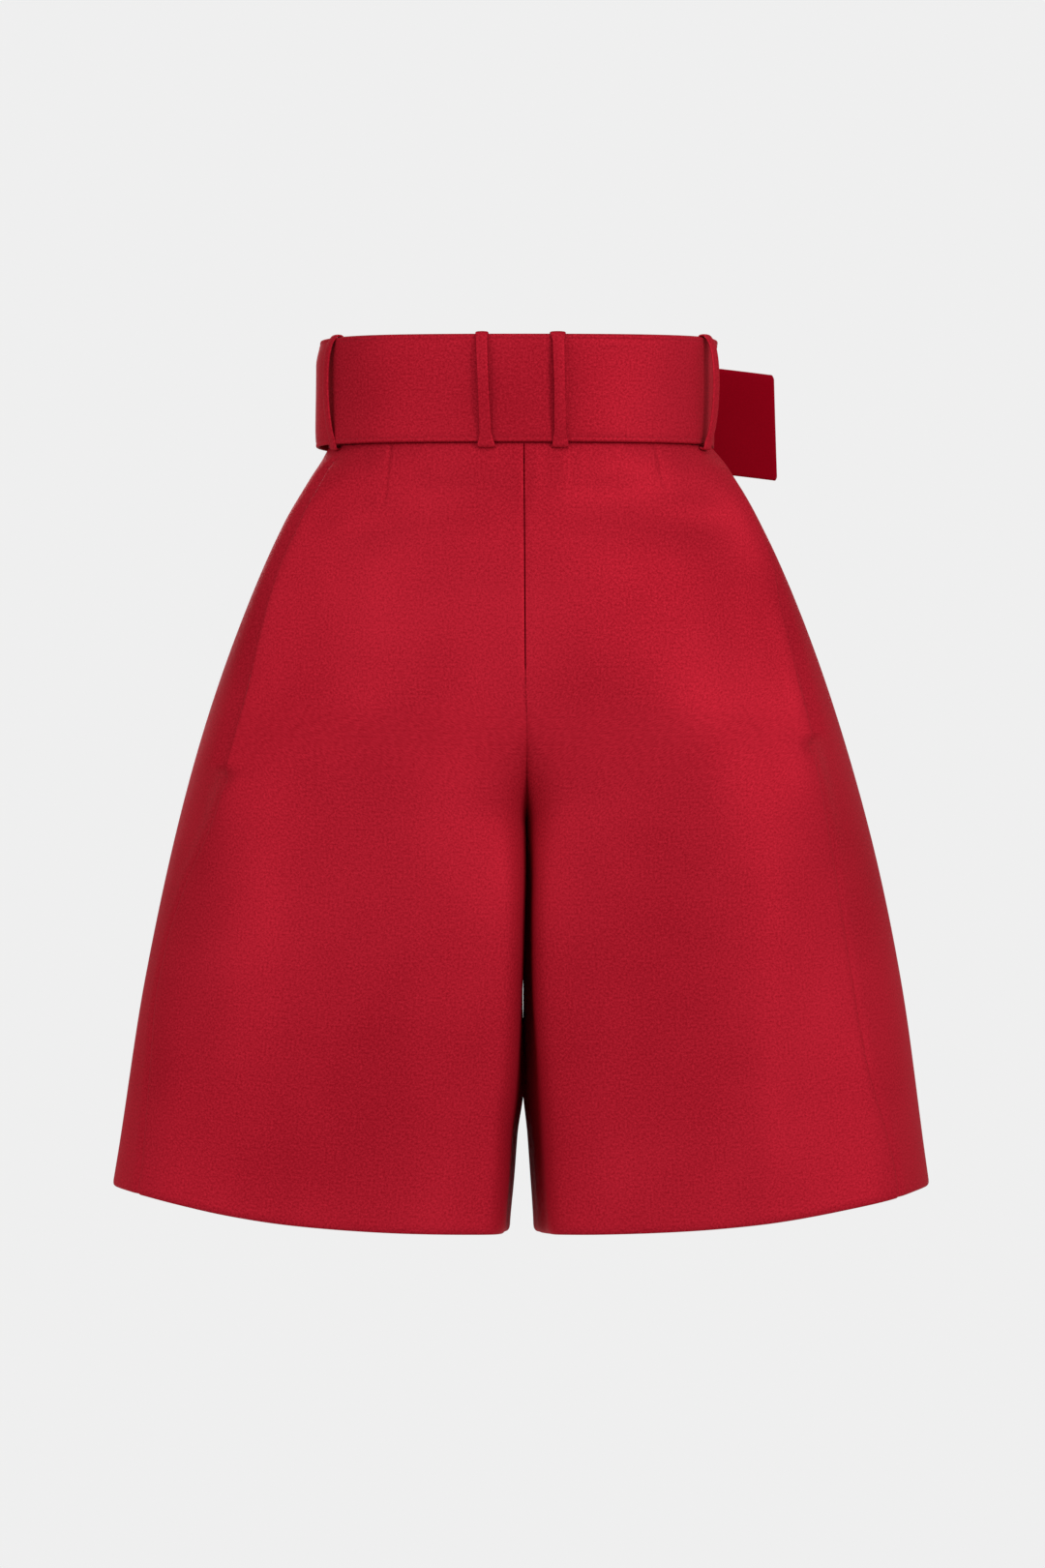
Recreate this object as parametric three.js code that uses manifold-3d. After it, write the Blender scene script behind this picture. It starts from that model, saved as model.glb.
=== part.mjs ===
// High-waisted A-line shorts with a wide covered belt, a lining and a centre-front zip.
// Frame: millimetres, +Z up. The origin is the centre of the waist opening, level with the top of the
// waistband at the back. The front of the garment faces -Y and the wearer's left is +X.

import * as THREE from 'three';
import { mergeVertices } from 'three/addons/utils/BufferGeometryUtils.js';
import Module from 'manifold-3d';

const wasm = await Module();
wasm.setup();

// Overall sizes.
const LENGTH = 564;
const RISE = 306;
const WAIST_HALF_WIDTH = 122.5;
const WAIST_HALF_DEPTH = 92;
const HEM_HALF_WIDTH = 257.5;
const HEM_BACK_DEPTH = 103;
const HEM_FRONT_DEPTH = 90;
const HEM_CURVE = 29;
const LEG_GAP = 9;
const FRONT_DIP = 10;

// How the width and the depth grow below the waist.
const HIP_CURVE = 112.4;
const HIP_REACH = 209.5;
const SEAT_CURVE = 34;
const SEAT_REACH = 80;
const FRONT_SLOPE = 0.07;
const FORK_START = 160;
const OUTER_POWER = 2.2;
const INNER_POWER = 4.5;

// Side seam: how far it lies inside the widest point at the waist, the thigh and the hem.
const SEAM_INSET_WAIST = 9;
const SEAM_INSET_THIGH = 20;
const SEAM_INSET_HEM = 17;

// Cloth layers, and the clearance between pieces that touch.
const GAP = 0.3;
const SHELL = 1.2;
const FACING = 0.8;
const LINING = 0.7;
const HEM_DEPTH = 35;

// Waistband and what is sewn to it.
const BAND_HEIGHT = 68;
const BAND = 1.4;
const BAND_FACING = 1.0;
const LABEL = 0.5;
const RIBBON = 1.0;
const RIBBON_WIDTH = 6;
const RIBBON_LENGTH = 85;

// Belt, buckle and loops.
const BELT_MARGIN = 0.5;
const BELT = 2.2;
const LOOP_WIDTH = 7;
const LOOP = 1.2;
const LOOP_SLACK = 0.4;
const BACK_LOOP_X = 23;
const SIDE_LOOP_X = 115;
const FRONT_LOOP_X = 70;
const BUCKLE_WINDOW = 23;
const BUCKLE_RIM = 7;
const BUCKLE = 3;
const BUCKLE_BAR = 4;
const BUCKLE_STAND_OFF = 6.2;
const BUCKLE_TAB = 1.0;
const TAIL_LENGTH = 124;
const TAIL_DROOP = 12.5;
const TAIL_ANGLE = 4;

// Zip.
const ZIP_LENGTH = 150;
const TAPE = 0.6;
const TAPE_EDGE = 16;
const TEETH_WIDTH = 1.8;
const TEETH = 1.8;
const TEETH_GAP = 1;
const SLIDER_WIDTH = 7.2;
const LIP = SLIDER_WIDTH / 2 + 0.6;
const SLIDER_LENGTH = 9;
const SLIDER_PLATE = 1;
const PULL_LENGTH = 22;
const PULL_WIDTH = 5;
const PULL = 1;

// How finely the cloth is divided.
const BACK_COLUMNS = 10;
const FRONT_COLUMNS = 11;
const ROWS_ABOVE_FORK = [0, 0.32, 0.66, 1];
const FORK_ROWS = [0.22, 0.42, 0.6, 0.76, 0.88, 0.96, 1];
const LEG_ROWS = [0.15, 0.34, 0.54, 0.73];

const DEPTH = LENGTH - BAND_HEIGHT;
const SIDE_DEPTH = DEPTH - HEM_CURVE;
const CROTCH = RISE - BAND_HEIGHT;
const FORK = FORK_START - BAND_HEIGHT;
const SLOPE_OF_HIP = (HEM_HALF_WIDTH - WAIST_HALF_WIDTH - HIP_CURVE * (1 - Math.exp(-SIDE_DEPTH / HIP_REACH)))
  / SIDE_DEPTH;
const SLOPE_OF_BACK = (HEM_BACK_DEPTH - WAIST_HALF_DEPTH - SEAT_CURVE) / DEPTH;
const FALL_START = 10;
const FRONT_FALL = (WAIST_HALF_DEPTH + FRONT_SLOPE * DEPTH - HEM_FRONT_DEPTH)
  / (DEPTH - ZIP_LENGTH - FALL_START) ** 2;

const clamp = (value, low, high) => Math.min(high, Math.max(low, value));
const mix = (a, b, share) => a + (b - a) * share;

// Half width of the garment at a depth below the waist seam, in mm.
function halfWidth(depth) {
  const side = depth * SIDE_DEPTH / DEPTH;
  return WAIST_HALF_WIDTH + HIP_CURVE * (1 - Math.exp(-side / HIP_REACH)) + SLOPE_OF_HIP * side;
}

function backDepth(depth) {
  return WAIST_HALF_DEPTH + SEAT_CURVE * (1 - Math.exp(-depth / SEAT_REACH)) + SLOPE_OF_BACK * depth;
}

function frontDepth(depth) {
  const past = Math.max(0, depth - ZIP_LENGTH - 10);
  return WAIST_HALF_DEPTH + FRONT_SLOPE * depth - FRONT_FALL * past * past;
}

function seamInset(depth) {
  if (depth < CROTCH) {
    return mix(SEAM_INSET_WAIST, SEAM_INSET_THIGH, depth / CROTCH);
  }
  return mix(SEAM_INSET_THIGH, SEAM_INSET_HEM, (depth - CROTCH) / (DEPTH - CROTCH));
}

// Cross-section of the wearer's left half at a depth. Above the fork it is half of one round body. From
// there its centre moves smoothly out and it becomes the closed round of one leg.
function sectionAt(depth) {
  const share = clamp((depth - FORK) / (CROTCH - FORK), 0, 1);
  const fork = share * share * (3 - 2 * share);
  const low = clamp((depth - CROTCH) / (DEPTH - CROTCH), 0, 1);
  const outer = halfWidth(depth);
  const inner = LEG_GAP / 2 * low * low;
  const centre = fork < 1 ? outer * fork / (1 + fork) : (outer + inner) / 2;
  return { fork, centre, half: outer - centre, back: backDepth(depth), front: frontDepth(depth) };
}

// Angle on the section, from the middle of the back (90 degrees) by the side (0) to the front (-90),
// at which the outline is at x, on the back (sign 1) or the front (sign -1).
function angleAtX(section, x, sign) {
  const along = clamp((x - section.centre) / section.half, -1, 1);
  const power = along < 0 ? INNER_POWER : OUTER_POWER;
  const across = (1 - Math.abs(along) ** power) ** (1 / power);
  return Math.atan2(sign * across, along);
}

// The outline is a superellipse, squarer on the inner side of a leg, where the two legs lie together.
function outline(section, angle) {
  const c = Math.cos(angle);
  const s = Math.sin(angle);
  const power = c < 0 ? INNER_POWER : OUTER_POWER;
  const reach = (Math.abs(c) ** power + Math.abs(s) ** power) ** (-1 / power);
  const depth = s > 0 ? section.back : section.front;
  return new THREE.Vector2(section.centre + section.half * c * reach, depth * s * reach);
}

// Outward direction of the outline, from two points close together.
function outlineNormal(section, angle) {
  const before = outline(section, angle + 0.002);
  const after = outline(section, angle - 0.002);
  return new THREE.Vector2(before.y - after.y, after.x - before.x).normalize();
}

function columnAngles(section) {
  const startBack = angleAtX(section, 0, 1);
  const startFront = angleAtX(section, 0, -1);
  const seam = angleAtX(section, section.centre + section.half - section.inset, 1);
  const even = mix(seam, startFront, (FRONT_COLUMNS - 1) / FRONT_COLUMNS);
  const flyEdge = section.fork < 1 ? angleAtX(section, TAPE_EDGE, -1) : even;
  const lastButOne = mix(flyEdge, even, clamp((section.fork - 0.25) / 0.5, 0, 1));
  const angles = [];
  for (let column = 0; column <= BACK_COLUMNS; column += 1) {
    angles.push(mix(startBack, seam, column / BACK_COLUMNS));
  }
  for (let column = 1; column < FRONT_COLUMNS; column += 1) {
    angles.push(mix(seam, lastButOne, column / (FRONT_COLUMNS - 1)));
  }
  angles.push(startFront);
  return angles;
}

// One station of the cloth: its place, and the direction that points out of it.
function station(section, angle, depth, bandDrop) {
  const place = outline(section, angle);
  const normal = outlineNormal(section, angle);
  const toFront = ((1 - Math.sin(angle)) / 2) ** 2;
  const dip = FRONT_DIP * toFront * (1 - depth / DEPTH);
  const rise = HEM_CURVE * (place.x / HEM_HALF_WIDTH) ** 2 * depth / DEPTH;
  return { x: place.x, y: place.y, z: bandDrop - depth + rise - dip, nx: normal.x, ny: normal.y, angle };
}

// Rows of stations. Row 0 is the top of the waistband, row 1 the waist seam, the last row the hem.
const rowDepths = [];
for (const share of ROWS_ABOVE_FORK) {
  rowDepths.push(FORK * share);
}
for (const share of FORK_ROWS) {
  rowDepths.push(mix(FORK, CROTCH, share));
}
for (const share of LEG_ROWS) {
  rowDepths.push(mix(CROTCH, DEPTH - HEM_DEPTH, share));
}
rowDepths.push(DEPTH - HEM_DEPTH, DEPTH);

function makeRow(depth, bandDrop) {
  const section = sectionAt(depth);
  section.inset = seamInset(depth);
  return columnAngles(section).map((angle) => station(section, angle, depth, bandDrop));
}

const cloth = [makeRow(0, 0)].concat(rowDepths.map((depth) => makeRow(depth, -BAND_HEIGHT)));

const SEAM = BACK_COLUMNS;
const CENTRE_FRONT = BACK_COLUMNS + FRONT_COLUMNS;
const FLY_EDGE = CENTRE_FRONT - 1;
const HEM_ROW = cloth.length - 1;
const FACING_ROW = HEM_ROW - 1;
const SEAM_ROW = 1;

// Row number at a depth below the waist seam. Row numbers may be fractions.
function rowAt(depth) {
  const last = rowDepths.length - 1;
  let row = 0;
  while (row < last - 1 && rowDepths[row + 1] < depth) {
    row += 1;
  }
  return SEAM_ROW + row + (depth - rowDepths[row]) / (rowDepths[row + 1] - rowDepths[row]);
}

// Fraction of a column at which a row's outline passes x, searched from one column to another.
function columnAtX(row, x, from, to) {
  const step = Math.sign(to - from);
  for (let column = from; column !== to; column += step) {
    const here = cloth[row][column].x;
    const next = cloth[row][column + step].x;
    if ((here - x) * (next - x) <= 0) {
      return column + step * (x - here) / (next - here);
    }
  }
  return to;
}

function between(a, b, share) {
  const keys = ['x', 'y', 'z', 'nx', 'ny', 'angle'];
  return Object.fromEntries(keys.map((key) => [key, mix(a[key], b[key], share)]));
}

function stationAt(column, row) {
  const c = Math.min(Math.floor(column), CENTRE_FRONT - 1);
  const r = Math.min(Math.floor(row), HEM_ROW - 1);
  const upper = between(cloth[r][c], cloth[r][c + 1], column - c);
  const lower = between(cloth[r + 1][c], cloth[r + 1][c + 1], column - c);
  return between(upper, lower, row - r);
}

// A point of a layer that lies "offset" outside the cloth's own surface, kept clear of the middle
// planes, where the other half or the other panel of the leg begins.
function layerPoint(at, offset) {
  const x = Math.max(at.x + at.nx * offset, GAP / 2);
  let y = at.y + at.ny * offset;
  if (at.angle > Math.PI / 2) {
    y = Math.max(y, GAP / 2);
  } else if (at.angle < -Math.PI / 2) {
    y = Math.min(y, -GAP / 2);
  }
  return new THREE.Vector3(x, y, at.z);
}

function signedVolume(geometry) {
  const place = geometry.getAttribute('position');
  const index = geometry.getIndex();
  const corner = [new THREE.Vector3(), new THREE.Vector3(), new THREE.Vector3()];
  let sum = 0;
  for (let i = 0; i < index.count; i += 3) {
    corner.forEach((point, k) => point.fromBufferAttribute(place, index.getX(i + k)));
    sum += corner[0].dot(corner[1].clone().cross(corner[2])) / 6;
  }
  return sum;
}

// Turns the faces of a closed geometry outwards.
function facingOut(geometry) {
  if (signedVolume(geometry) < 0) {
    const index = geometry.getIndex();
    for (let i = 0; i < index.count; i += 3) {
      const first = index.getX(i);
      index.setX(i, index.getX(i + 1));
      index.setX(i + 1, first);
    }
  }
  return geometry;
}

// Closed slab between two layers of points. pointAt(column, row, layer) gives each corner.
function slab(columns, rows, pointAt) {
  const points = [];
  for (let layer = 0; layer < 2; layer += 1) {
    for (let row = 0; row < rows; row += 1) {
      for (let column = 0; column < columns; column += 1) {
        points.push(...pointAt(column, row, layer).toArray());
      }
    }
  }
  const at = (column, row, layer) => (layer * rows + row) * columns + column;
  const faces = [];
  const quad = (a, b, c, d) => faces.push(a, b, c, a, c, d);
  for (let row = 0; row < rows - 1; row += 1) {
    for (let column = 0; column < columns - 1; column += 1) {
      const [c, r] = [column, row];
      quad(at(c, r, 0), at(c + 1, r, 0), at(c + 1, r + 1, 0), at(c, r + 1, 0));
      faces.push(at(c, r, 1), at(c + 1, r + 1, 1), at(c + 1, r, 1));
      faces.push(at(c, r, 1), at(c, r + 1, 1), at(c + 1, r + 1, 1));
    }
  }
  for (let c = 0; c < columns - 1; c += 1) {
    quad(at(c + 1, 0, 0), at(c, 0, 0), at(c, 0, 1), at(c + 1, 0, 1));
    quad(at(c, rows - 1, 0), at(c + 1, rows - 1, 0), at(c + 1, rows - 1, 1), at(c, rows - 1, 1));
  }
  for (let r = 0; r < rows - 1; r += 1) {
    quad(at(0, r, 0), at(0, r + 1, 0), at(0, r + 1, 1), at(0, r, 1));
    quad(at(columns - 1, r + 1, 0), at(columns - 1, r, 0), at(columns - 1, r, 1), at(columns - 1, r + 1, 1));
  }
  const geometry = new THREE.BufferGeometry();
  geometry.setAttribute('position', new THREE.Float32BufferAttribute(points, 3));
  geometry.setIndex(faces);
  return facingOut(geometry);
}

// Column or row numbers from first to last: the whole ones between them, and both ends.
function span(first, last) {
  const list = [first];
  for (let whole = Math.floor(first) + 1; whole < last; whole += 1) {
    if (whole - first > 1e-6 && last - whole > 1e-6) {
      list.push(whole);
    }
  }
  list.push(last);
  return list;
}

// One layer of cloth on the body's surface. side is 1 for the wearer's left and -1 for the right.
// lastColumn may be a function of the row, for an edge that is not along a column.
function clothLayer(side, columns, rows, outer, inner, lastColumn) {
  return slab(columns.length, rows.length, (c, r, layer) => {
    const isLast = c === columns.length - 1;
    const column = isLast && lastColumn ? lastColumn(rows[r]) : columns[c];
    const point = layerPoint(stationAt(column, rows[r]), layer === 0 ? outer : inner);
    return point.setX(point.x * side);
  });
}

const colours = {
  satin: 0xa8202f,
  lining: 0x8e1420,
  tape: 0x7a1019,
  metal: 0xc9b27a,
  button: 0x8a1620,
  label: 0xf0ece2,
};

function finish(colour) {
  const metallic = colour === 'metal';
  return new THREE.MeshStandardMaterial({
    color: colours[colour],
    roughness: metallic ? 0.3 : 0.5,
    metalness: metallic ? 1 : 0,
    side: THREE.FrontSide,
  });
}

const shorts = new THREE.Group();

function add(name, geometry, colour, parent = shorts) {
  const mesh = new THREE.Mesh(geometry, finish(colour));
  mesh.name = name;
  parent.add(mesh);
  return mesh;
}

const SIDES = [['left', 1], ['right', -1]];
const SEAM_SLIT = GAP / 2 / 20;
const ZIP_END_ROW = rowAt(ZIP_LENGTH);

// The front edge runs a lip's width off the middle beside the zip, and in the middle below it.
function lipColumn(half) {
  return (row) => {
    const closed = clamp(row - Math.ceil(rowAt(ZIP_LENGTH + 2)), 0, 1);
    return CENTRE_FRONT - (half / TAPE_EDGE) * (1 - closed);
  };
}

// Layer offsets, from the outside in.
const facingOuter = -SHELL - GAP;
const liningOuter = facingOuter - FACING - GAP;
const bandFacingOuter = -BAND - GAP;
const bandFacingInner = bandFacingOuter - BAND_FACING;
const BAND_SLIT = GAP / 2 / BAND_HEIGHT;
const belowBand = SEAM_ROW + 0.005;

function addShell(name, side) {
  const rows = span(belowBand, HEM_ROW);
  add(`back_panel_${name}`, clothLayer(side, span(0, SEAM - SEAM_SLIT), rows, 0, -SHELL), 'satin');
  const front = span(SEAM + SEAM_SLIT, CENTRE_FRONT);
  add(`front_panel_${name}`, clothLayer(side, front, rows, 0, -SHELL, lipColumn(LIP)), 'satin');
}

function addInnerLayers(name, side) {
  const everyColumn = span(0, CENTRE_FRONT);
  const liningRows = span(belowBand, rowAt(DEPTH - HEM_DEPTH + 8));
  const lining = clothLayer(side, everyColumn, liningRows, liningOuter, liningOuter - LINING,
    lipColumn(TAPE_EDGE - 1.5));
  add(`lining_${name}`, lining, 'lining');
  const hemRows = [FACING_ROW, HEM_ROW - 0.05];
  const hem = clothLayer(side, everyColumn, hemRows, facingOuter, facingOuter - FACING);
  add(`hem_facing_${name}`, hem, 'satin');
  const bagRows = span(SEAM_ROW + 0.5, Math.floor(rowAt(CROTCH - 20)));
  const bag = clothLayer(side, span(SEAM - 1, SEAM + 4), bagRows, facingOuter, facingOuter - FACING);
  add(`pocket_bag_${name}`, bag, 'lining');
}

function addWaistband(name, side) {
  const rows = [0, SEAM_ROW - BAND_SLIT];
  const front = span(SEAM + SEAM_SLIT, CENTRE_FRONT);
  add(`waistband_front_${name}`, clothLayer(side, front, rows, 0, -BAND), 'satin');
  const facing = clothLayer(side, front, rows, bandFacingOuter, bandFacingInner);
  add(`waistband_facing_front_${name}`, facing, 'satin');
}

// A ring of columns that crosses the middle of the back: from one on the wearer's right to one on the left.
function acrossBack(reach) {
  const half = span(0, reach);
  const right = half.slice(1).reverse().map((column) => [column, -1]);
  return right.concat(half.map((column) => [column, 1]));
}

function bandPoint(column, side, row, offset) {
  const at = stationAt(column, row);
  const x = column === 0 ? 0 : at.x + at.nx * offset;
  return new THREE.Vector3(x * side, at.y + at.ny * offset, at.z);
}

function bandSlab(ring, rows, outer, inner) {
  return slab(ring.length, rows.length, (c, r, layer) => {
    const [column, side] = ring[c];
    return bandPoint(column, side, rows[r], layer === 0 ? outer : inner);
  });
}

function addBackBand() {
  const ring = acrossBack(SEAM - SEAM_SLIT);
  const rows = [0, SEAM_ROW - BAND_SLIT];
  add('waistband_back', bandSlab(ring, rows, 0, -BAND), 'satin');
  add('waistband_facing_back', bandSlab(ring, rows, bandFacingOuter, bandFacingInner), 'satin');
}

// Plain labels, a ribbon at each side to hang the shorts by.
// Labels and hanging ribbons: places as shares of the waistband's height, columns and depths of the cloth.
const SIZE_LABEL_HALF = 19;
const SIZE_LABEL_SHARE = [0.2, 0.75];
const CARE_LABEL_DEPTH = [70, 128];
const CARE_LABEL_COLUMNS = [SEAM - 1.5, SEAM - 0.6];
const RIBBON_START = SEAM + 0.2;
const RIBBON_TOP_SHARE = 0.3;
const RIBBON_SEWN_SHARE = 0.99;
const RIBBON_LIFT = 1;
const RIBBON_HANG = 1.5;
const trimOuter = bandFacingInner - GAP;

function addTrims() {
  const labelRing = acrossBack(columnAtX(SEAM_ROW, SIZE_LABEL_HALF, 0, SEAM));
  add('size_label', bandSlab(labelRing, SIZE_LABEL_SHARE, trimOuter, trimOuter - LABEL), 'label');
  const careOuter = liningOuter - LINING - GAP;
  const careRows = span(...CARE_LABEL_DEPTH.map(rowAt));
  const care = clothLayer(1, CARE_LABEL_COLUMNS, careRows, careOuter, careOuter - LABEL);
  add('care_label', care, 'label');
  addRibbons();
}

function addRibbons() {
  const width = RIBBON_WIDTH / Math.hypot(
    cloth[1][SEAM + 1].x - cloth[1][SEAM].x, cloth[1][SEAM + 1].y - cloth[1][SEAM].y);
  for (const [name, side] of SIDES) {
    const hanging = span(belowBand + 0.1, rowAt(RIBBON_LENGTH - BAND_HEIGHT * (1 - RIBBON_TOP_SHARE)));
    const rows = [RIBBON_TOP_SHARE, RIBBON_SEWN_SHARE].concat(hanging);
    const loop = slab(2, rows.length, (c, r, layer) => {
      const below = clamp(rows[r] - RIBBON_SEWN_SHARE, 0, 1);
      const lift = below * RIBBON_HANG + (rows[r] >= RIBBON_SEWN_SHARE ? RIBBON_LIFT : 0);
      const offset = trimOuter - lift - (layer === 0 ? 0 : RIBBON);
      const point = layerPoint(stationAt(RIBBON_START + c * width, rows[r]), offset);
      return point.setX(point.x * side);
    });
    add(`hanger_loop_${name}`, loop, 'tape');
  }
}

// Plan of the waist: the point at x on the front or the back, and its outward direction.
const waistSection = sectionAt(0);

function waistFrame(x, sign) {
  const angle = angleAtX(waistSection, Math.abs(x), sign);
  const side = Math.sign(x) || 1;
  const place = outline(waistSection, angle);
  const normal = outlineNormal(waistSection, angle);
  const dip = FRONT_DIP * ((1 - Math.sin(angle)) / 2) ** 2;
  return { x: place.x * side, y: place.y, nx: normal.x * side, ny: normal.y, dip };
}

// A group whose x runs along the waist, y points out of the body and z is up.
function waistGroup(x, sign) {
  const frame = waistFrame(x, sign);
  const group = new THREE.Group();
  const out = new THREE.Vector3(frame.nx, frame.ny, 0);
  const up = new THREE.Vector3(0, 0, 1);
  const along = new THREE.Vector3().crossVectors(out, up);
  group.matrixAutoUpdate = false;
  group.matrix.makeBasis(along, out, up).setPosition(frame.x, frame.y, -frame.dip);
  shorts.add(group);
  return group;
}

function polygon(points) {
  const shape = new THREE.Shape();
  points.forEach(([x, y], i) => (i === 0 ? shape.moveTo(x, y) : shape.lineTo(x, y)));
  shape.closePath();
  return shape;
}

function clean(geometry) {
  geometry.deleteAttribute('normal');
  geometry.deleteAttribute('uv');
  return mergeVertices(geometry, 1e-4);
}

function box(x0, x1, y0, y1, z0, z1) {
  const geometry = new THREE.BoxGeometry(x1 - x0, y1 - y0, z1 - z0);
  geometry.translate((x0 + x1) / 2, (y0 + y1) / 2, (z0 + z1) / 2);
  return clean(geometry);
}

// Belt loop: over the band's top edge, down outside the belt, and in under the belt's lower edge. Its
// profile is drawn as (out, up) and given its width along the waist.
// Gap between the waistband and the belt's inner face.
const beltInner = GAP + 0.1;

// Profile of a belt loop: out from the waist and up, with cut corners at its top and foot.
const LOOP_FOOT = 2.1;
const LOOP_DROP = 0.2;
const LOOP_TOP_CORNER = 0.8;
const LOOP_LOW_CORNER = 0.6;

function loopGeometry() {
  const inner = beltInner + BELT + LOOP_SLACK;
  const outer = inner + LOOP;
  const top = GAP;
  const bottom = -BAND_HEIGHT - LOOP_DROP;
  const crest = top + LOOP;
  const sole = bottom - LOOP;
  const profile = [
    [-BAND, top], [-BAND, crest], [outer - LOOP_TOP_CORNER, crest], [outer, crest - LOOP_TOP_CORNER],
    [outer, sole + LOOP_LOW_CORNER], [outer - LOOP_LOW_CORNER, sole], [LOOP_FOOT, sole], [LOOP_FOOT, bottom],
    [inner, bottom], [inner, top],
  ];
  const geometry = new THREE.ExtrudeGeometry(polygon(profile), { depth: LOOP_WIDTH, bevelEnabled: false });
  const place = geometry.getAttribute('position');
  for (let i = 0; i < place.count; i += 1) {
    const [out, up, along] = [place.getX(i), place.getY(i), place.getZ(i)];
    place.setXYZ(i, along - LOOP_WIDTH / 2, out, up);
  }
  return facingOut(clean(geometry));
}

function addLoop(name, x, sign) {
  add(name, loopGeometry(), 'satin', waistGroup(x, sign));
}

function addLoops() {
  for (const [name, side] of SIDES) {
    addLoop(`belt_loop_back_${name}`, BACK_LOOP_X * side, 1);
    addLoop(`belt_loop_side_${name}`, SIDE_LOOP_X * side, 1);
    addLoop(`belt_loop_front_${name}`, FRONT_LOOP_X * side, -1);
  }
}

// Belt in plan, from the tab behind the buckle round the back to the buckle's far side and through it.
const BUCKLE_SIDE = BUCKLE_WINDOW + BUCKLE_BAR / 2 + BUCKLE_RIM;
const TAIL_START = BUCKLE_SIDE + 1;
const tailUnder = beltInner + BELT + GAP;
const WAVE = BUCKLE_WINDOW + BUCKLE_BAR / 2 + 1;
const TAB_RING = [BUCKLE_BAR / 2 + GAP + BUCKLE_TAB + 0.4, BUCKLE / 2 + GAP + BUCKLE_TAB];
const waveHeight = BUCKLE_STAND_OFF + BUCKLE / 2 + TAB_RING[1] + 2 * GAP - (beltInner + tailUnder) / 2;
const WAVE_LEAD = 8;
const WAVE_STEPS = 16;
const BELT_END_X = 9;

function beltPath() {
  const path = [];
  const ringPoint = (column, side) => {
    const at = bandPoint(column, side, 0, 0);
    const station = stationAt(column, 0);
    return { x: at.x, y: at.y, z: at.z, nx: column === 0 ? 0 : station.nx * side, ny: station.ny, lift: 0 };
  };
  const first = columnAtX(0, BELT_END_X, CENTRE_FRONT, SEAM);
  const last = columnAtX(0, WAVE + WAVE_LEAD, CENTRE_FRONT, SEAM);
  for (const column of span(0, first).slice(1).reverse()) {
    path.push(ringPoint(column, -1));
  }
  for (const column of span(0, last)) {
    path.push(ringPoint(column, 1));
  }
  for (let step = 0; step <= WAVE_STEPS; step += 1) {
    const x = mix(WAVE, -WAVE, step / WAVE_STEPS);
    const under = mix(0, tailUnder - beltInner, step / WAVE_STEPS);
    const wave = waveHeight * (0.5 + 0.5 * Math.cos(Math.PI * x / WAVE));
    path.push({ ...frontPlan(x), lift: under + wave });
  }
  path.push({ ...frontPlan(-(TAIL_START - GAP)), lift: tailUnder - beltInner });
  return path;
}

// Point of the waist's front at x, with the outward direction straight ahead, for flat things there.
function frontPlan(x) {
  const frame = waistFrame(x, -1);
  return { x, y: frame.y, nx: 0, ny: -1, z: -frame.dip };
}

function addBelt() {
  const path = beltPath();
  const strap = slab(path.length, 2, (c, row, layer) => {
    const at = path[c];
    const offset = beltInner + at.lift + (layer === 0 ? BELT : 0);
    const z = at.z - (row === 0 ? BELT_MARGIN : BAND_HEIGHT - BELT_MARGIN);
    return new THREE.Vector3(at.x + at.nx * offset, at.y + at.ny * offset, z);
  });
  add('belt_strap', strap, 'satin');
}

function addTail() {
  const start = frontPlan(-TAIL_START);
  const group = new THREE.Group();
  group.position.set(start.x, start.y - tailUnder - BELT, start.z);
  group.rotation.z = -TAIL_ANGLE * Math.PI / 180;
  shorts.add(group);
  const columns = 9;
  const height = BAND_HEIGHT - 2 * BELT_MARGIN;
  const tail = slab(columns, 2, (c, row, layer) => {
    const share = c / (columns - 1);
    const slant = row === 1 ? 2 * share : 0;
    const z = -BELT_MARGIN - TAIL_DROOP * share ** 1.3 - (row === 1 ? height : 0);
    return new THREE.Vector3(-TAIL_LENGTH * share - slant, layer === 0 ? 0 : BELT, z);
  });
  add('belt_tail', tail, 'satin', group);
}

function rectangle(halfX, halfZ, radius) {
  const shape = new THREE.Shape();
  const quarter = Math.PI / 2;
  const corners = [[1, -1, -1], [1, 1, 0], [-1, 1, 1], [-1, -1, 2]];
  for (const [x, z, turn] of corners) {
    const centre = [x * (halfX - radius), z * (halfZ - radius)];
    shape.absarc(...centre, radius, turn * quarter, (turn + 1) * quarter, false);
  }
  return shape;
}

function rectangleHole(x0, x1, z0, z1) {
  return new THREE.Path().moveTo(x0, z0).lineTo(x0, z1).lineTo(x1, z1).lineTo(x1, z0).closePath();
}

// The buckle's group: x across, y outwards from the waistband, z up from the belt's middle.
function buckleGroup() {
  const group = waistGroup(0.001, -1);
  const middle = new THREE.Group();
  middle.position.z = -BAND_HEIGHT / 2;
  group.add(middle);
  group.updateMatrixWorld(true);
  return middle;
}

// Flat shape in x and z, given a thickness outwards from y.
function plate(shape, y, thickness, curveSegments = 4) {
  const geometry = new THREE.ExtrudeGeometry(shape, { depth: thickness, bevelEnabled: false, curveSegments });
  geometry.rotateX(Math.PI / 2);
  geometry.translate(0, y + thickness, 0);
  return facingOut(clean(geometry));
}

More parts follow.
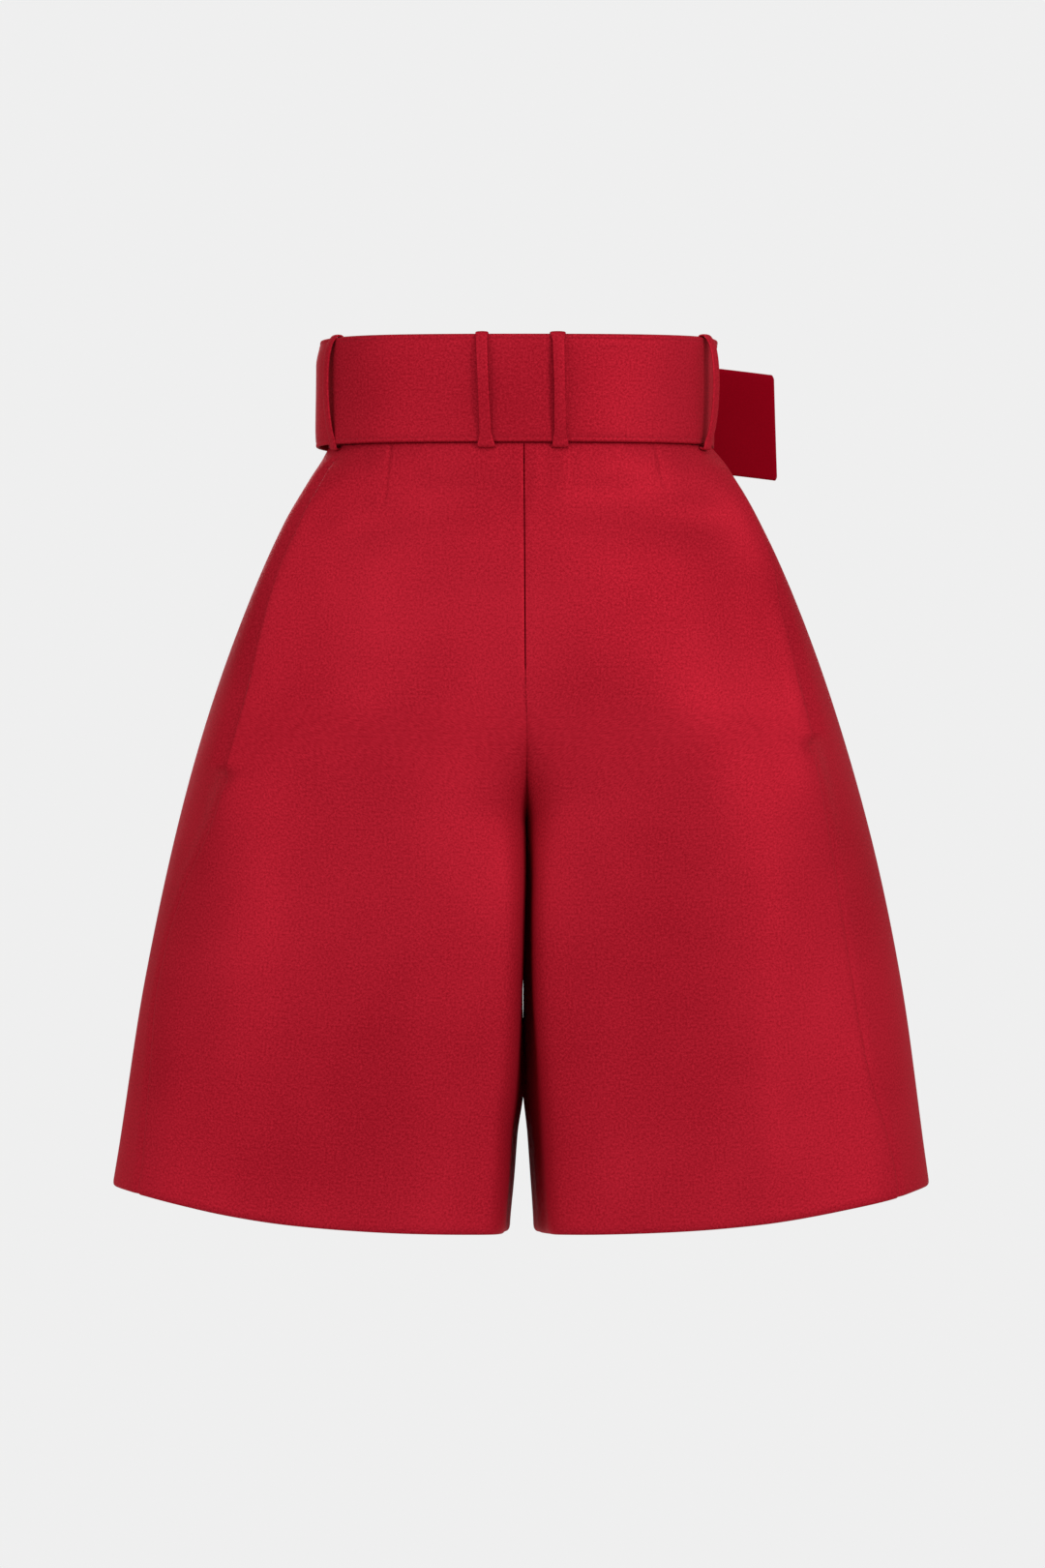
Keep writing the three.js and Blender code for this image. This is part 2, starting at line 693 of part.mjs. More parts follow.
function addBuckle(group) {
  const window = BAND_HEIGHT / 2 + 1.5;
  const bar = BUCKLE_BAR / 2;
  const rim = rectangle(BUCKLE_SIDE, window + BUCKLE_RIM, BUCKLE_RIM);
  const [back, front] = [BUCKLE_STAND_OFF - 1, BUCKLE_STAND_OFF + BUCKLE + 1];
  let frame = solidOf(plate(rim, BUCKLE_STAND_OFF, BUCKLE));
  frame = frame.subtract(solidOf(box(-bar - BUCKLE_WINDOW, -bar, back, front, -window, window)));
  frame = frame.subtract(solidOf(box(bar, bar + BUCKLE_WINDOW, back, front, -window, window)));
  add('buckle_frame', facingOut(geometryOf(frame)), 'satin', group);
}

function solidOf(geometry) {
  const merged = clean(geometry);
  return new wasm.Manifold(new wasm.Mesh({
    numProp: 3,
    vertProperties: new Float32Array(merged.getAttribute('position').array),
    triVerts: new Uint32Array(merged.getIndex().array),
  }));
}

function geometryOf(solid) {
  const mesh = solid.getMesh();
  const geometry = new THREE.BufferGeometry();
  geometry.setAttribute('position', new THREE.Float32BufferAttribute(mesh.vertProperties, 3));
  geometry.setIndex(Array.from(mesh.triVerts));
  return geometry;
}

// Tab: the end of the strap, folded round the buckle's bar. In plan it is a ring with a tongue.
// Plan of the tab's tongue, which runs from the ring round the bar to the belt's end behind the buckle.
const TAB_TONGUE = [[-2, 4.2], [-2, 5.2], [3.5, 5.9], [10, 3.9], [17, 3.9], [17, 2.9], [10, 2.9]];
const TAB_MARGIN = 1;

function addTab(group) {
  const middle = BUCKLE_STAND_OFF + BUCKLE / 2;
  const halfHeight = BAND_HEIGHT / 2 - TAB_MARGIN;
  const hole = [BUCKLE_BAR / 2 + GAP, BUCKLE / 2 + GAP];
  const ring = new THREE.Shape();
  ring.absellipse(0, middle, TAB_RING[0], TAB_RING[1], 0, Math.PI * 2);
  ring.holes.push(rectangleHole(-hole[0], hole[0], middle - hole[1], middle + hole[1]));
  const tongue = polygon(TAB_TONGUE);
  const upright = (shape) => {
    const geometry = new THREE.ExtrudeGeometry(shape, {
      depth: halfHeight * 2, bevelEnabled: false, curveSegments: 8,
    });
    geometry.translate(0, 0, -halfHeight);
    return solidOf(geometry);
  };
  const joined = upright(ring).add(upright(tongue));
  add('buckle_tab', facingOut(geometryOf(joined)), 'satin', group);
}

// The group of the zip: its origin is on the waist seam at the centre front, y points out, -z runs down
// along the zip.
function zipGroup() {
  const top = cloth[1][CENTRE_FRONT];
  const low = stationAt(CENTRE_FRONT, ZIP_END_ROW);
  const down = new THREE.Vector3(0, low.y - top.y, low.z - top.z).normalize();
  const up = down.clone().negate();
  const across = new THREE.Vector3(-1, 0, 0);
  const out = new THREE.Vector3().crossVectors(up, across);
  const group = new THREE.Group();
  group.matrixAutoUpdate = false;
  group.matrix.makeBasis(across, out, up).setPosition(0, top.y, top.z);
  shorts.add(group);
  return group;
}

const tapeOuter = facingOuter - 0.1;
const tapeMiddle = tapeOuter - TAPE / 2;
const SLIDER_TOP = -4;
const STOP_HEIGHT = 3.5;
const WEB_HEIGHT = 3;
const BRIDGE_HALF_WIDTH = 0.8;
const BRIDGE_OUT = 2.6;
const BRIDGE_LEG = 1.4;
const PULL_CLEARANCE = 0.4;
const PULL_CORNER = 1.6;
const EYE_HALF_WIDTH = 1.5;
const EYE_HEIGHT = 3.2;

function addZipTapes() {
  const rows = span(belowBand, rowAt(ZIP_LENGTH + 2));
  const inner = CENTRE_FRONT - (TEETH_GAP / 2 + TEETH_WIDTH + GAP) / TAPE_EDGE;
  for (const [name, side] of SIDES) {
    const tape = clothLayer(side, [FLY_EDGE + 0.1, inner], rows, tapeOuter, tapeOuter - TAPE);
    add(`zip_tape_${name}`, tape, 'tape');
  }
}

function addZip(group) {
  const near = TEETH_GAP / 2;
  const far = near + TEETH_WIDTH;
  const back = tapeMiddle - TEETH / 2;
  const front = tapeMiddle + TEETH / 2;
  add('zip_teeth_left', box(-far, -near, back, front, -ZIP_LENGTH, SLIDER_TOP + 2), 'metal', group);
  add('zip_teeth_right', box(near, far, back, front, -ZIP_LENGTH, SLIDER_TOP + 2), 'metal', group);
  const stop = box(-far, far, back, front, -ZIP_LENGTH - STOP_HEIGHT, -ZIP_LENGTH - GAP);
  add('zip_bottom_stop', stop, 'metal', group);
  addSlider(group, back, front);
}

function addSlider(group, back, front) {
  const half = SLIDER_WIDTH / 2;
  const top = SLIDER_TOP;
  const low = top - SLIDER_LENGTH;
  const face = front + GAP + SLIDER_PLATE;
  const web = TEETH_GAP / 2 - GAP;
  const middle = (top + low) / 2;
  const [wide, tall] = [BRIDGE_HALF_WIDTH, BRIDGE_OUT];
  const parts = [
    box(-half, half, front + GAP, face, low, top),
    box(-half, half, back - GAP - SLIDER_PLATE, back - GAP, low, top),
    box(-web, web, back - GAP - 0.1, front + GAP + 0.1, top - WEB_HEIGHT, top),
    box(-wide, wide, face - 0.1, face + BRIDGE_OUT, middle + tall - BRIDGE_LEG, middle + tall),
    box(-wide, wide, face - 0.1, face + BRIDGE_OUT, middle - tall, middle - tall + BRIDGE_LEG),
    box(-wide, wide, face + BRIDGE_OUT - wide, face + BRIDGE_OUT, middle - tall, middle + tall),
  ];
  const joined = parts.map(solidOf).reduce((a, b) => a.add(b));
  add('zip_slider', facingOut(geometryOf(joined)), 'metal', group);
  addPull(group, face + PULL_CLEARANCE, middle);
}

// Pull: a thin plate with an eye at its top that goes through the slider's bridge.
function addPull(group, back, eye) {
  const bar = PULL / 2;
  const shape = rectangle(PULL_WIDTH / 2, PULL_LENGTH / 2, PULL_CORNER);
  const eyeTop = PULL_LENGTH / 2 - PULL;
  shape.holes.push(rectangleHole(-EYE_HALF_WIDTH, EYE_HALF_WIDTH, eyeTop - EYE_HEIGHT, eyeTop));
  const geometry = plate(shape, back, PULL);
  geometry.translate(0, 0, eye + bar - PULL_LENGTH / 2);
  add('zip_pull', geometry, 'metal', group);
}

// Fly shield: a strip of cloth behind the zip, sewn down along its edge on the wearer's left.
const SHIELD_CLEARANCE = 0.8;
const SHIELD_BELOW_ZIP = 8;

function addFlyShield() {
  const behind = tapeMiddle - TEETH / 2 - GAP - SLIDER_PLATE - SHIELD_CLEARANCE;
  const sewn = liningOuter - LINING - GAP;
  const plan = [[30, sewn], [20, sewn], [12, mix(sewn, behind, 0.6)], [6, behind], [0, behind], [-6, behind]];
  const rows = span(belowBand + 0.02, rowAt(ZIP_LENGTH + SHIELD_BELOW_ZIP));
  const shield = slab(plan.length, rows.length, (c, r, layer) => {
    const [x, offset] = plan[c];
    const at = stationAt(CENTRE_FRONT - clamp(Math.abs(x) / TAPE_EDGE, 0, 1.8), rows[r]);
    const y = at.y - offset + (layer === 0 ? 0 : FACING);
    return new THREE.Vector3(x, y, at.z);
  });
  add('fly_shield', shield, 'satin');
}

// Underlap of the waistband with its hook, bar and inside button.
const UNDERLAP_DEPTH = 5;
const UNDERLAP_MARGIN = 3;
const HOOK_CLEARANCE = 0.5;

function addWaistClosure() {
  const sewn = bandFacingInner - GAP;
  const deep = sewn - UNDERLAP_DEPTH;
  const ring = [[16, sewn], [10, sewn], [4, mix(sewn, deep, 0.5)], [-2, deep], [-18, deep], [-34, deep]];
  const underlap = slab(ring.length, 2, (c, row, layer) => {
    const [x, offset] = ring[c];
    const plan = frontPlan(x);
    const z = plan.z - (row === 0 ? UNDERLAP_MARGIN : BAND_HEIGHT - UNDERLAP_MARGIN);
    return new THREE.Vector3(x, plan.y - offset + (layer === 0 ? 0 : FACING), z);
  });
  add('waist_underlap', underlap, 'satin');
  const group = waistGroup(HOOK_X, -1);
  addHook(group, sewn - HOOK_CLEARANCE);
  addBar(group, sewn - HOOK_CLEARANCE, deep);
  addButton(deep);
}

function joinedBoxes(boxes) {
  return facingOut(geometryOf(boxes.map(solidOf).reduce((a, b) => a.add(b))));
}

// Hook: a flat plate that turns back on itself. Along the waist it runs from HOOK_BACK to HOOK_TURN.
const HOOK_X = -14;
const HOOK_BACK = -5;
const HOOK_TURN = 6;
const HOOK_RETURN = 1.6;
const HOOK_PLATE = 0.6;
const HOOK_THICK = 3;
const HOOK_HALF_HEIGHT = 4;

function addHook(group, sewn) {
  const low = -BAND_HEIGHT / 2 - HOOK_HALF_HEIGHT;
  const top = low + HOOK_HALF_HEIGHT * 2;
  const deep = sewn - HOOK_THICK;
  add('waist_hook', joinedBoxes([
    box(HOOK_BACK, HOOK_TURN, sewn - HOOK_PLATE, sewn, low, top),
    box(HOOK_TURN - HOOK_PLATE, HOOK_TURN, deep, sewn, low, top),
    box(HOOK_RETURN, HOOK_TURN, deep, deep + HOOK_PLATE, low, top),
  ]), 'metal', group);
}

// Bar that the hook catches: an upright rod with a foot at each end, standing on the underlap.
const BAR_START = 2.4;
const BAR_WIDTH = 1;
const BAR_IN = 1.9;
const BAR_OUT = 1.1;
const BAR_HALF_HEIGHT = 6.5;

function addBar(group, sewn, deep) {
  const middle = -BAND_HEIGHT / 2;
  const [near, far] = [BAR_START, BAR_START + BAR_WIDTH];
  const [low, top] = [middle - BAR_HALF_HEIGHT, middle + BAR_HALF_HEIGHT];
  add('waist_bar', joinedBoxes([
    box(near, far, sewn - BAR_IN, sewn - BAR_OUT, low, top),
    box(near, far, deep + GAP, sewn - BAR_OUT, top - BAR_WIDTH, top),
    box(near, far, deep + GAP, sewn - BAR_OUT, low, low + BAR_WIDTH),
  ]), 'metal', group);
}

// Button: half profile from its seat to its rimmed face, as radius and height.
const BUTTON_PROFILE = [[0, 0], [6, 0], [6.4, 0.6], [6, 2], [4.6, 2.2], [4.2, 1.6], [0, 1.6]];
const BUTTON_X = -27;
const BUTTON_RAISED = 12;
const BUTTON_SIDES = 20;

function addButton(deep) {
  const profile = BUTTON_PROFILE.map((p) => new THREE.Vector2(...p));
  const button = new THREE.LatheGeometry(profile, BUTTON_SIDES);
  button.rotateX(Math.PI);
  button.translate(0, deep - FACING - GAP, BUTTON_RAISED - BAND_HEIGHT / 2);
  add('inside_button', facingOut(clean(button)), 'button', waistGroup(BUTTON_X, -1));
}

for (const [name, side] of SIDES) {
  addShell(name, side);
  addInnerLayers(name, side);
  addWaistband(name, side);
}
addBackBand();
addTrims();
addLoops();
addBelt();
addTail();
const buckle = buckleGroup();
addBuckle(buckle);
addTab(buckle);
addZipTapes();
addZip(zipGroup());
addFlyShield();
addWaistClosure();

export default shorts;
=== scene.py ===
# %% [markdown]
# # High-waisted satin shorts with a wide covered belt
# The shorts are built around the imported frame: every cloth piece is a surface worked out with numpy from
# two numbers, how far down the garment (the depth) and how far round it (the angle). Modelling by hand or
# simulating a sewn pattern would also work. Formulas were chosen because every layer then follows the same
# body, so that shell, lining and facings nest inside each other as sewn cloth does.

import bmesh
import bpy
import numpy as np
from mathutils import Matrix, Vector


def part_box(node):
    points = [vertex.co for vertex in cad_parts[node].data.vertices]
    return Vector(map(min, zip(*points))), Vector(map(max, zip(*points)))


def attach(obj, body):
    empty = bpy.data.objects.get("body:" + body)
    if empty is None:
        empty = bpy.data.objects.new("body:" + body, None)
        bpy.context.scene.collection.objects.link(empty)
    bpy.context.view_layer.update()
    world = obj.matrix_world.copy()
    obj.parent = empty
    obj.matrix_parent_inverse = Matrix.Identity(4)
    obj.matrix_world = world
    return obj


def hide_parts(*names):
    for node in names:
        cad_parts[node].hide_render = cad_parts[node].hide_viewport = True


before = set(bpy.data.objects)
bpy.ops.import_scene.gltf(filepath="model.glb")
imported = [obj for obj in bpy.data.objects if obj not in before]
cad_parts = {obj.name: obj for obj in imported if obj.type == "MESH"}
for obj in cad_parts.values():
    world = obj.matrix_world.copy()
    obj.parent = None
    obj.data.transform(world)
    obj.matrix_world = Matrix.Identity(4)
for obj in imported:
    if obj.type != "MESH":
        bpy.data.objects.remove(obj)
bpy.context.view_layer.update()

# %% [markdown]
# ## Camera, floor and light
# The shorts are seen level and straight from behind, from far away, as with a long lens. Below them lies a
# round pale floor, and pale surroundings close the view. A curved paper backdrop would do too, but it would
# hide the garment from the other sides. Four soft area lights stand round it: the strongest behind it at the
# wearer's right, a wider and weaker one at the left, a faint one above, and one in front for the other side.

# %% Camera
VIEW_HEIGHT = 0.988
CAMERA_DISTANCE = 13.0
CAMERA_X, CAMERA_HEIGHT = 0.0003, -0.2818
SENSOR = 36.0
scene = bpy.context.scene
camera_data = bpy.data.cameras.new("camera")
camera_data.sensor_width = SENSOR
camera_data.lens = SENSOR * CAMERA_DISTANCE / VIEW_HEIGHT
camera = bpy.data.objects.new("camera", camera_data)
camera.location = (CAMERA_X, CAMERA_DISTANCE, CAMERA_HEIGHT)
camera.rotation_euler = (np.pi / 2, 0, np.pi)
scene.collection.objects.link(camera)
scene.camera = camera
scene.view_settings.view_transform = "Standard"
print("lens, mm:", round(camera_data.lens, 1))


# %% Node helpers
def new_material(name):
    """An empty node material with a Principled shader, as (material, node tree, shader)."""
    material = bpy.data.materials.new(name)
    material.use_nodes = True
    tree = material.node_tree
    return material, tree, tree.nodes["Principled BSDF"]


def node(tree, kind, inputs=None, **values):
    """Adds a node, sets its properties, and sets or links its inputs."""
    made = tree.nodes.new(kind)
    for key, value in values.items():
        setattr(made, key, value)
    for key, value in (inputs or {}).items():
        if isinstance(value, bpy.types.NodeSocket):
            tree.links.new(value, made.inputs[key])
        else:
            made.inputs[key].default_value = value
    return made


# %% Floor and lights
FLOOR_HEIGHT, FLOOR_RADIUS = -0.92, 2.6
FLOOR_TONE, FLOOR_GLOW = 0.35, 0.28
turn = np.linspace(0, 2 * np.pi, 97)[:-1]
rim = np.stack([FLOOR_RADIUS * np.cos(turn), FLOOR_RADIUS * np.sin(turn), FLOOR_HEIGHT + 0 * turn], 1)
floor_mesh = bpy.data.meshes.new("floor")
floor_mesh.from_pydata(rim.tolist(), [], [list(range(len(turn)))])
floor = bpy.data.objects.new("floor", floor_mesh)
scene.collection.objects.link(floor)
paper, _, paper_shader = new_material("pale_paper")
paper_shader.inputs["Base Color"].default_value = (FLOOR_TONE, FLOOR_TONE, FLOOR_TONE, 1)
paper_shader.inputs["Roughness"].default_value = 0.9
paper_shader.inputs["Emission Color"].default_value = (1, 1, 1, 1)
paper_shader.inputs["Emission Strength"].default_value = FLOOR_GLOW
floor_mesh.materials.append(paper)


def soft_light(name, place, aim, size, power):
    """A square area light at place that shines towards aim."""
    data = bpy.data.lights.new(name, "AREA")
    data.size = size
    data.energy = power
    light = bpy.data.objects.new(name, data)
    light.location = place
    direction = np.array(aim) - np.array(place)
    flat = np.hypot(direction[0], direction[1])
    light.rotation_euler = (np.arctan2(flat, -direction[2]), 0, np.arctan2(-direction[0], direction[1]))
    scene.collection.objects.link(light)
    return light


MIDDLE = (0, 0, -0.28)
soft_light("key_light", (-2.0, 2.4, 0.6), MIDDLE, 0.9, 45)
soft_light("fill_light", (2.4, 1.9, 0.3), MIDDLE, 1.8, 30)
soft_light("top_light", (-0.2, 1.6, 2.0), MIDDLE, 1.4, 15)
soft_light("front_light", (0.2, -3.0, 0.9), MIDDLE, 2.0, 36)


# %% Surroundings
# The camera sees plain pale paper all round. The cloth is lit by a dimmer tone of it, so that the lamps
# count.
SEEN_TONE, LIT_TONE = 0.864, 0.52
world = bpy.data.worlds.new("studio")
world.use_nodes = True
sky = world.node_tree
sky_path = node(sky, "ShaderNodeLightPath")
sky_tone = node(sky, "ShaderNodeMix", {0: sky_path.outputs["Is Camera Ray"], 2: LIT_TONE, 3: SEEN_TONE})
sky.links.new(sky_tone.outputs[0], sky.nodes["Background"].inputs["Strength"])
sky.nodes["Background"].inputs["Color"].default_value = (1, 1, 1, 1)
scene.world = world

# %% [markdown]
# ## The body the cloth lies on
# All lengths are in millimetres here and become metres when a mesh is made. Depth 0 is the waist seam and
# grows downwards, so the waistband lies between depth -68 and 0. Each half of the garment is cut by level
# planes into superellipses. They start as half of one round body and become the round of one leg below
# the crotch.

# %% Measures
BAND_HEIGHT = 68.0
DEPTH = 496.0
CROTCH = 238.0
FORK = 92.0
WAIST_WIDTH, WAIST_DEPTH = 122.5, 92.0
HEM_WIDTH, HEM_CURVE = 257.5, 29.0
HIP_CURVE, HIP_REACH = 112.4, 209.5
SEAT_CURVE, SEAT_REACH = 34.0, 80.0
HEM_BACK, HEM_FRONT, FRONT_SLOPE = 103.0, 90.0, 0.07
LEG_GAP, FRONT_DIP = 9.0, 10.0
OUTER_POWER, INNER_POWER = 2.2, 4.5
SIDE_DEPTH = DEPTH - HEM_CURVE
HIP_SLOPE = (HEM_WIDTH - WAIST_WIDTH - HIP_CURVE * (1 - np.exp(-SIDE_DEPTH / HIP_REACH))) / SIDE_DEPTH
BACK_SLOPE = (HEM_BACK - WAIST_DEPTH - SEAT_CURVE) / DEPTH
ZIP_END = 150.0
FRONT_FALL = (WAIST_DEPTH + FRONT_SLOPE * DEPTH - HEM_FRONT) / (DEPTH - ZIP_END - 10) ** 2


# %% Section of the body
def smooth(t):
    """0 below 0, 1 above 1, and 3tt-2ttt between, so it starts and stops gently."""
    t = np.clip(t, 0, 1)
    return t * t * (3 - 2 * t)


def leg_inner(d):
    """Distance of a leg's inner side from the middle: none at the crotch, half the gap at the hem."""
    return LEG_GAP / 2 * np.clip((d - CROTCH) / (DEPTH - CROTCH), 0, 1) ** 2


def section(d):
    """Centre and half width of one half's outline. The centre moves out from 0 to the leg's middle."""
    d = np.maximum(d, 0)
    side = d * SIDE_DEPTH / DEPTH
    outer = WAIST_WIDTH + HIP_CURVE * (1 - np.exp(-side / HIP_REACH)) + HIP_SLOPE * side
    fork = smooth((d - FORK) / (CROTCH - FORK))
    centre = np.where(fork < 1, outer * fork / (1 + fork), (outer + leg_inner(d)) / 2)
    return centre, outer - centre


def angle_at(d, x, sign):
    """Angle at which the outline passes x: on the back with sign 1, on the front with sign -1."""
    centre, half = section(d)
    along = np.clip((x - centre) / half, -1, 1)
    power = np.where(along < 0, INNER_POWER, OUTER_POWER)
    return np.arctan2(sign * (1 - np.abs(along) ** power) ** (1 / power), along)


def outline(d, angle):
    """Superellipse: the point at this angle where |x/a|^p + |y/b|^p = 1, shifted to the centre."""
    centre, half = section(d)
    d = np.maximum(d, 0)
    c, s = np.cos(angle), np.sin(angle)
    power = np.where(c < 0, INNER_POWER, OUTER_POWER)
    reach = (np.abs(c) ** power + np.abs(s) ** power) ** (-1 / power)
    past = np.maximum(0, d - ZIP_END - 10)
    back = WAIST_DEPTH + SEAT_CURVE * (1 - np.exp(-d / SEAT_REACH)) + BACK_SLOPE * d
    front = WAIST_DEPTH + FRONT_SLOPE * d - FRONT_FALL * past * past
    return centre + half * c * reach, np.where(s > 0, back, front) * s * reach


def outline_normal(d, angle):
    """Level outward direction: the small step along the outline, turned a quarter."""
    x0, y0 = outline(d, angle + 0.002)
    x1, y1 = outline(d, angle - 0.002)
    length = np.hypot(x1 - x0, y1 - y0) + 1e-12
    return (y0 - y1) / length, (x1 - x0) / length


print("half width at the hem, mm:", float(sum(section(DEPTH))))

# %% [markdown]
# ## Hang and folds
# Satin this stiff hardly creases. It stands away in broad soft flutes that start at the hip, has hollows
# under the belt on both sides of the middle, and short level creases at the hips. A cloth simulation
# would give folds at random places, so each fold is instead one soft bump with its own place, size and
# height, and the sum of them moves the surface in or out.

# %% Folds
# Each fold: place across (the wearer's left is plus), depth, spread across, spread down, height, all in mm.
BACK_FOLDS = [
    (54, 36, 34, 13, -8.6), (-60, 37, 36, 14, -7.6), (104, 42, 22, 6, 1.8), (106, 56, 20, 8, -1.4),
    (-111, 39, 18, 6, 1.6), (-110, 53, 18, 8, -1.2), (29, 66, 28, 16, 1.9), (-30, 75, 26, 25, 0.9),
    (75, 266, 30, 150, 3.4), (116, 147, 18, 55, -2.8), (142, 119, 14, 55, 2.2), (203, 391, 20, 60, -2.6),
    (160, 330, 22, 90, 1.8), (-114, 144, 36, 80, 2.6), (-72, 348, 38, 70, -3.0), (-150, 300, 30, 110, 2.2),
    (-30, 250, 20, 80, 1.5), (24, 180, 16, 60, -1.6), (20, 420, 20, 60, -1.8), (-190, 400, 24, 70, -2.0),
]
FRONT_FOLDS = [
    (80, 60, 22, 30, 2.0), (-84, 66, 24, 30, 2.2), (60, 300, 26, 150, 3.4), (-64, 280, 28, 150, 3.0),
    (120, 220, 20, 110, -3.0), (-116, 240, 20, 120, -3.2), (165, 330, 24, 110, 2.6),
    (-170, 350, 22, 110, 2.4), (30, 200, 14, 60, -2.0), (-30, 210, 14, 70, -2.2), (95, 410, 26, 80, -2.6),
    (-100, 400, 26, 90, -2.2),
]
# Flutes and puckers: wave length, phase, height.
FLUTES = [(97, 0.4, 1.4), (61, 2.1, 0.7), (38, 4.4, 0.28)]
PUCKERS = [(23, 0.9, 0.35), (14.5, 3.7, 0.28), (9.3, 5.2, 0.12)]


def fold_height(x, y, d):
    """Sum of the soft bumps of the side the point is on, flutes that grow towards the hem as the square
    of the depth, and small puckers that die out below the waist seam."""
    back = smooth((y + 25) / 50)
    total = np.zeros_like(x)
    for share, folds in ((back, BACK_FOLDS), (1 - back, FRONT_FOLDS)):
        for across, depth, wide, tall, height in folds:
            bump = np.exp(-0.5 * ((x - across) / wide) ** 2 - 0.5 * ((d - depth) / tall) ** 2)
            total += share * height * bump
    low = np.clip(d / DEPTH, 0, 1) ** 2
    for wave, phase, height in FLUTES:
        total += height * low * np.cos(2 * np.pi * x / wave + phase + 2 * back)
    for wave, phase, height in PUCKERS:
        total += height * np.exp(-np.maximum(d, 0) / 22) * np.cos(2 * np.pi * x / wave + phase)
    return total * smooth(d / 9)


# %% Darts
# Back darts run from the waist seam down and outwards: x at the seam, x at the point, length, depth of the
# fold.
DARTS = [(82.7, 90.3, 44, 1.2), (-82.7, -93.0, 36, 0.6)]


def dart_height(x, y, d):
    """A narrow stitched valley with a soft ridge on its outer side, fading out at its point. The middle
    seam of the back is such a valley too, with a ridge on both sides."""
    middle = 0.2 * np.exp(-((np.abs(x) - 5) / 3) ** 2) - 0.5 * np.exp(-(x / 1.2) ** 2)
    total = middle * smooth(d / 6) * smooth((250 - d) / 30) * (y > 0)
    for top, point, length, deep in DARTS:
        line = top + (point - top) * d / length
        away = (x - line) * np.sign(top)
        fade = smooth((length - d) / 14) * (d > 0) * (y > 0)
        total += fade * deep * (0.25 * np.exp(-((away - 2.6) / 2.4) ** 2) - np.exp(-(away / 1.1) ** 2))
    return total


# %% Where the inner edges of the legs run, seen from behind
DRIFT_DEPTH = [0, 141, 188, 240, 292, 345, 383, 391, 427, 464, 492]
LEFT_EDGE = [-0.6, -1.5, -2.7, -4.6, -2.9, -2.2, -0.7, 0.3, 4.4, 6.2, 9.2]
RIGHT_EDGE = [-0.6, -1.5, -2.0, -0.9, 1.5, 2.0, -0.6, -1.2, -3.6, -5.8, -7.9]
EVERY_DEPTH = np.arange(-40.0, DEPTH + 40)


def softened_table(values, spread=9.0, depths=None):
    """The table at every millimetre, averaged with a bell-shaped weight so that it has no corners."""
    plain = np.interp(EVERY_DEPTH, depths or DRIFT_DEPTH, values)
    reach = np.arange(-30, 31)
    weight = np.exp(-0.5 * (reach / spread) ** 2)
    return np.convolve(np.pad(plain, 30, mode="edge"), weight / weight.sum(), "valid")


DRIFT_LEFT, DRIFT_RIGHT = softened_table(LEFT_EDGE), softened_table(RIGHT_EDGE)


def drift(side, x, y, d):
    """Sideways move of the legs' inner sides: at the back from the plain inner edge to the edge's place in
    the tables, further forward until the legs nearly touch; it dies out away from the middle."""
    table = DRIFT_LEFT if side > 0 else DRIFT_RIGHT
    target = np.interp(d, EVERY_DEPTH, table) - side * leg_inner(d)
    hem = smooth((d - 385) / 50)
    back = smooth((y - 35) / 45)
    closing = side * (0.9 - np.maximum(leg_inner(d), 0.9)) * (1 - hem) * (1 - back)
    near = np.exp(-(np.maximum(x - leg_inner(d), 0) / 40) ** 2) * (d > 0)
    return near * (target * (hem + (1 - hem) * back) + closing)


def leg_overlap(side, x, y, d):
    """Near the middle the left leg stands forward and the right leg falls away behind its edge."""
    fade = smooth((d - 222) / 60) * smooth((y - 20) / 50)
    away = np.maximum(x - leg_inner(d), 0)
    if side > 0:
        return 1.2 * fade * np.exp(-away / 22)
    return -6.0 * fade * np.exp(-away / 5.0)


def squared_back(side, x, y, d):
    """How far the inner back corner of a leg is drawn backwards, so that the leg lies flat nearly up to its
    inner edge: a bell round the edge, growing below the crotch, more on the left leg."""
    fade = smooth((d - 200) / 90) * smooth((y - 8) / 60)
    away = np.maximum(x - leg_inner(d), 0)
    return (13.0 if side > 0 else 8.0) * fade * np.exp(-(away / 17) ** 2)


def side_fullness(side, y, d):
    """The hips stand out a little at the silhouette, and the waist is drawn in on the right."""
    full = (2.6 if side > 0 else 1.7) * smooth(d / 50) * smooth((480 - d) / 130)
    drawn = -5.0 * (1 - smooth((d + 12) / 30)) if side < 0 else 0.0
    return (full + drawn) * np.exp(-(y / 55) ** 2)


def place(side, d, angle, offset):
    """Point of the cloth: the outline's point moved out by offset and folds, level with depth d, lifted
    towards the hem's sides and dipped at the waist's front. side is 1 for the wearer's left, -1 right."""
    x, y = outline(d, angle)
    nx, ny = outline_normal(d, angle)
    share = np.clip(d / DEPTH, 0, 1)
    out = offset + fold_height(side * x, y, d) + dart_height(side * x, y, d) + leg_overlap(side, x, y, d)
    out = out + side_fullness(side, y, d)
    z = -BAND_HEIGHT - d + HEM_CURVE * np.abs(x / HEM_WIDTH) ** 2.75 * share
    z = z - FRONT_DIP * ((1 - np.sin(angle)) / 2) ** 2 * (1 - share)
    moved = np.maximum(x + nx * out, 0.03 + 0.9 * np.maximum(-offset, 0))
    across = side * moved + drift(side, x, y, d)
    return np.stack([across, y + ny * out + squared_back(side, x, y, d), z], -1)


# %% [markdown]
# ## From surfaces to closed cloth
# A cloth piece is a slab: an outer and an inner grid, joined by narrow rims. Solidify could add the second
# side too, but here both sides come from the formula, so that the thickness can shrink towards the edges
# and give each edge the small round that folded satin has.


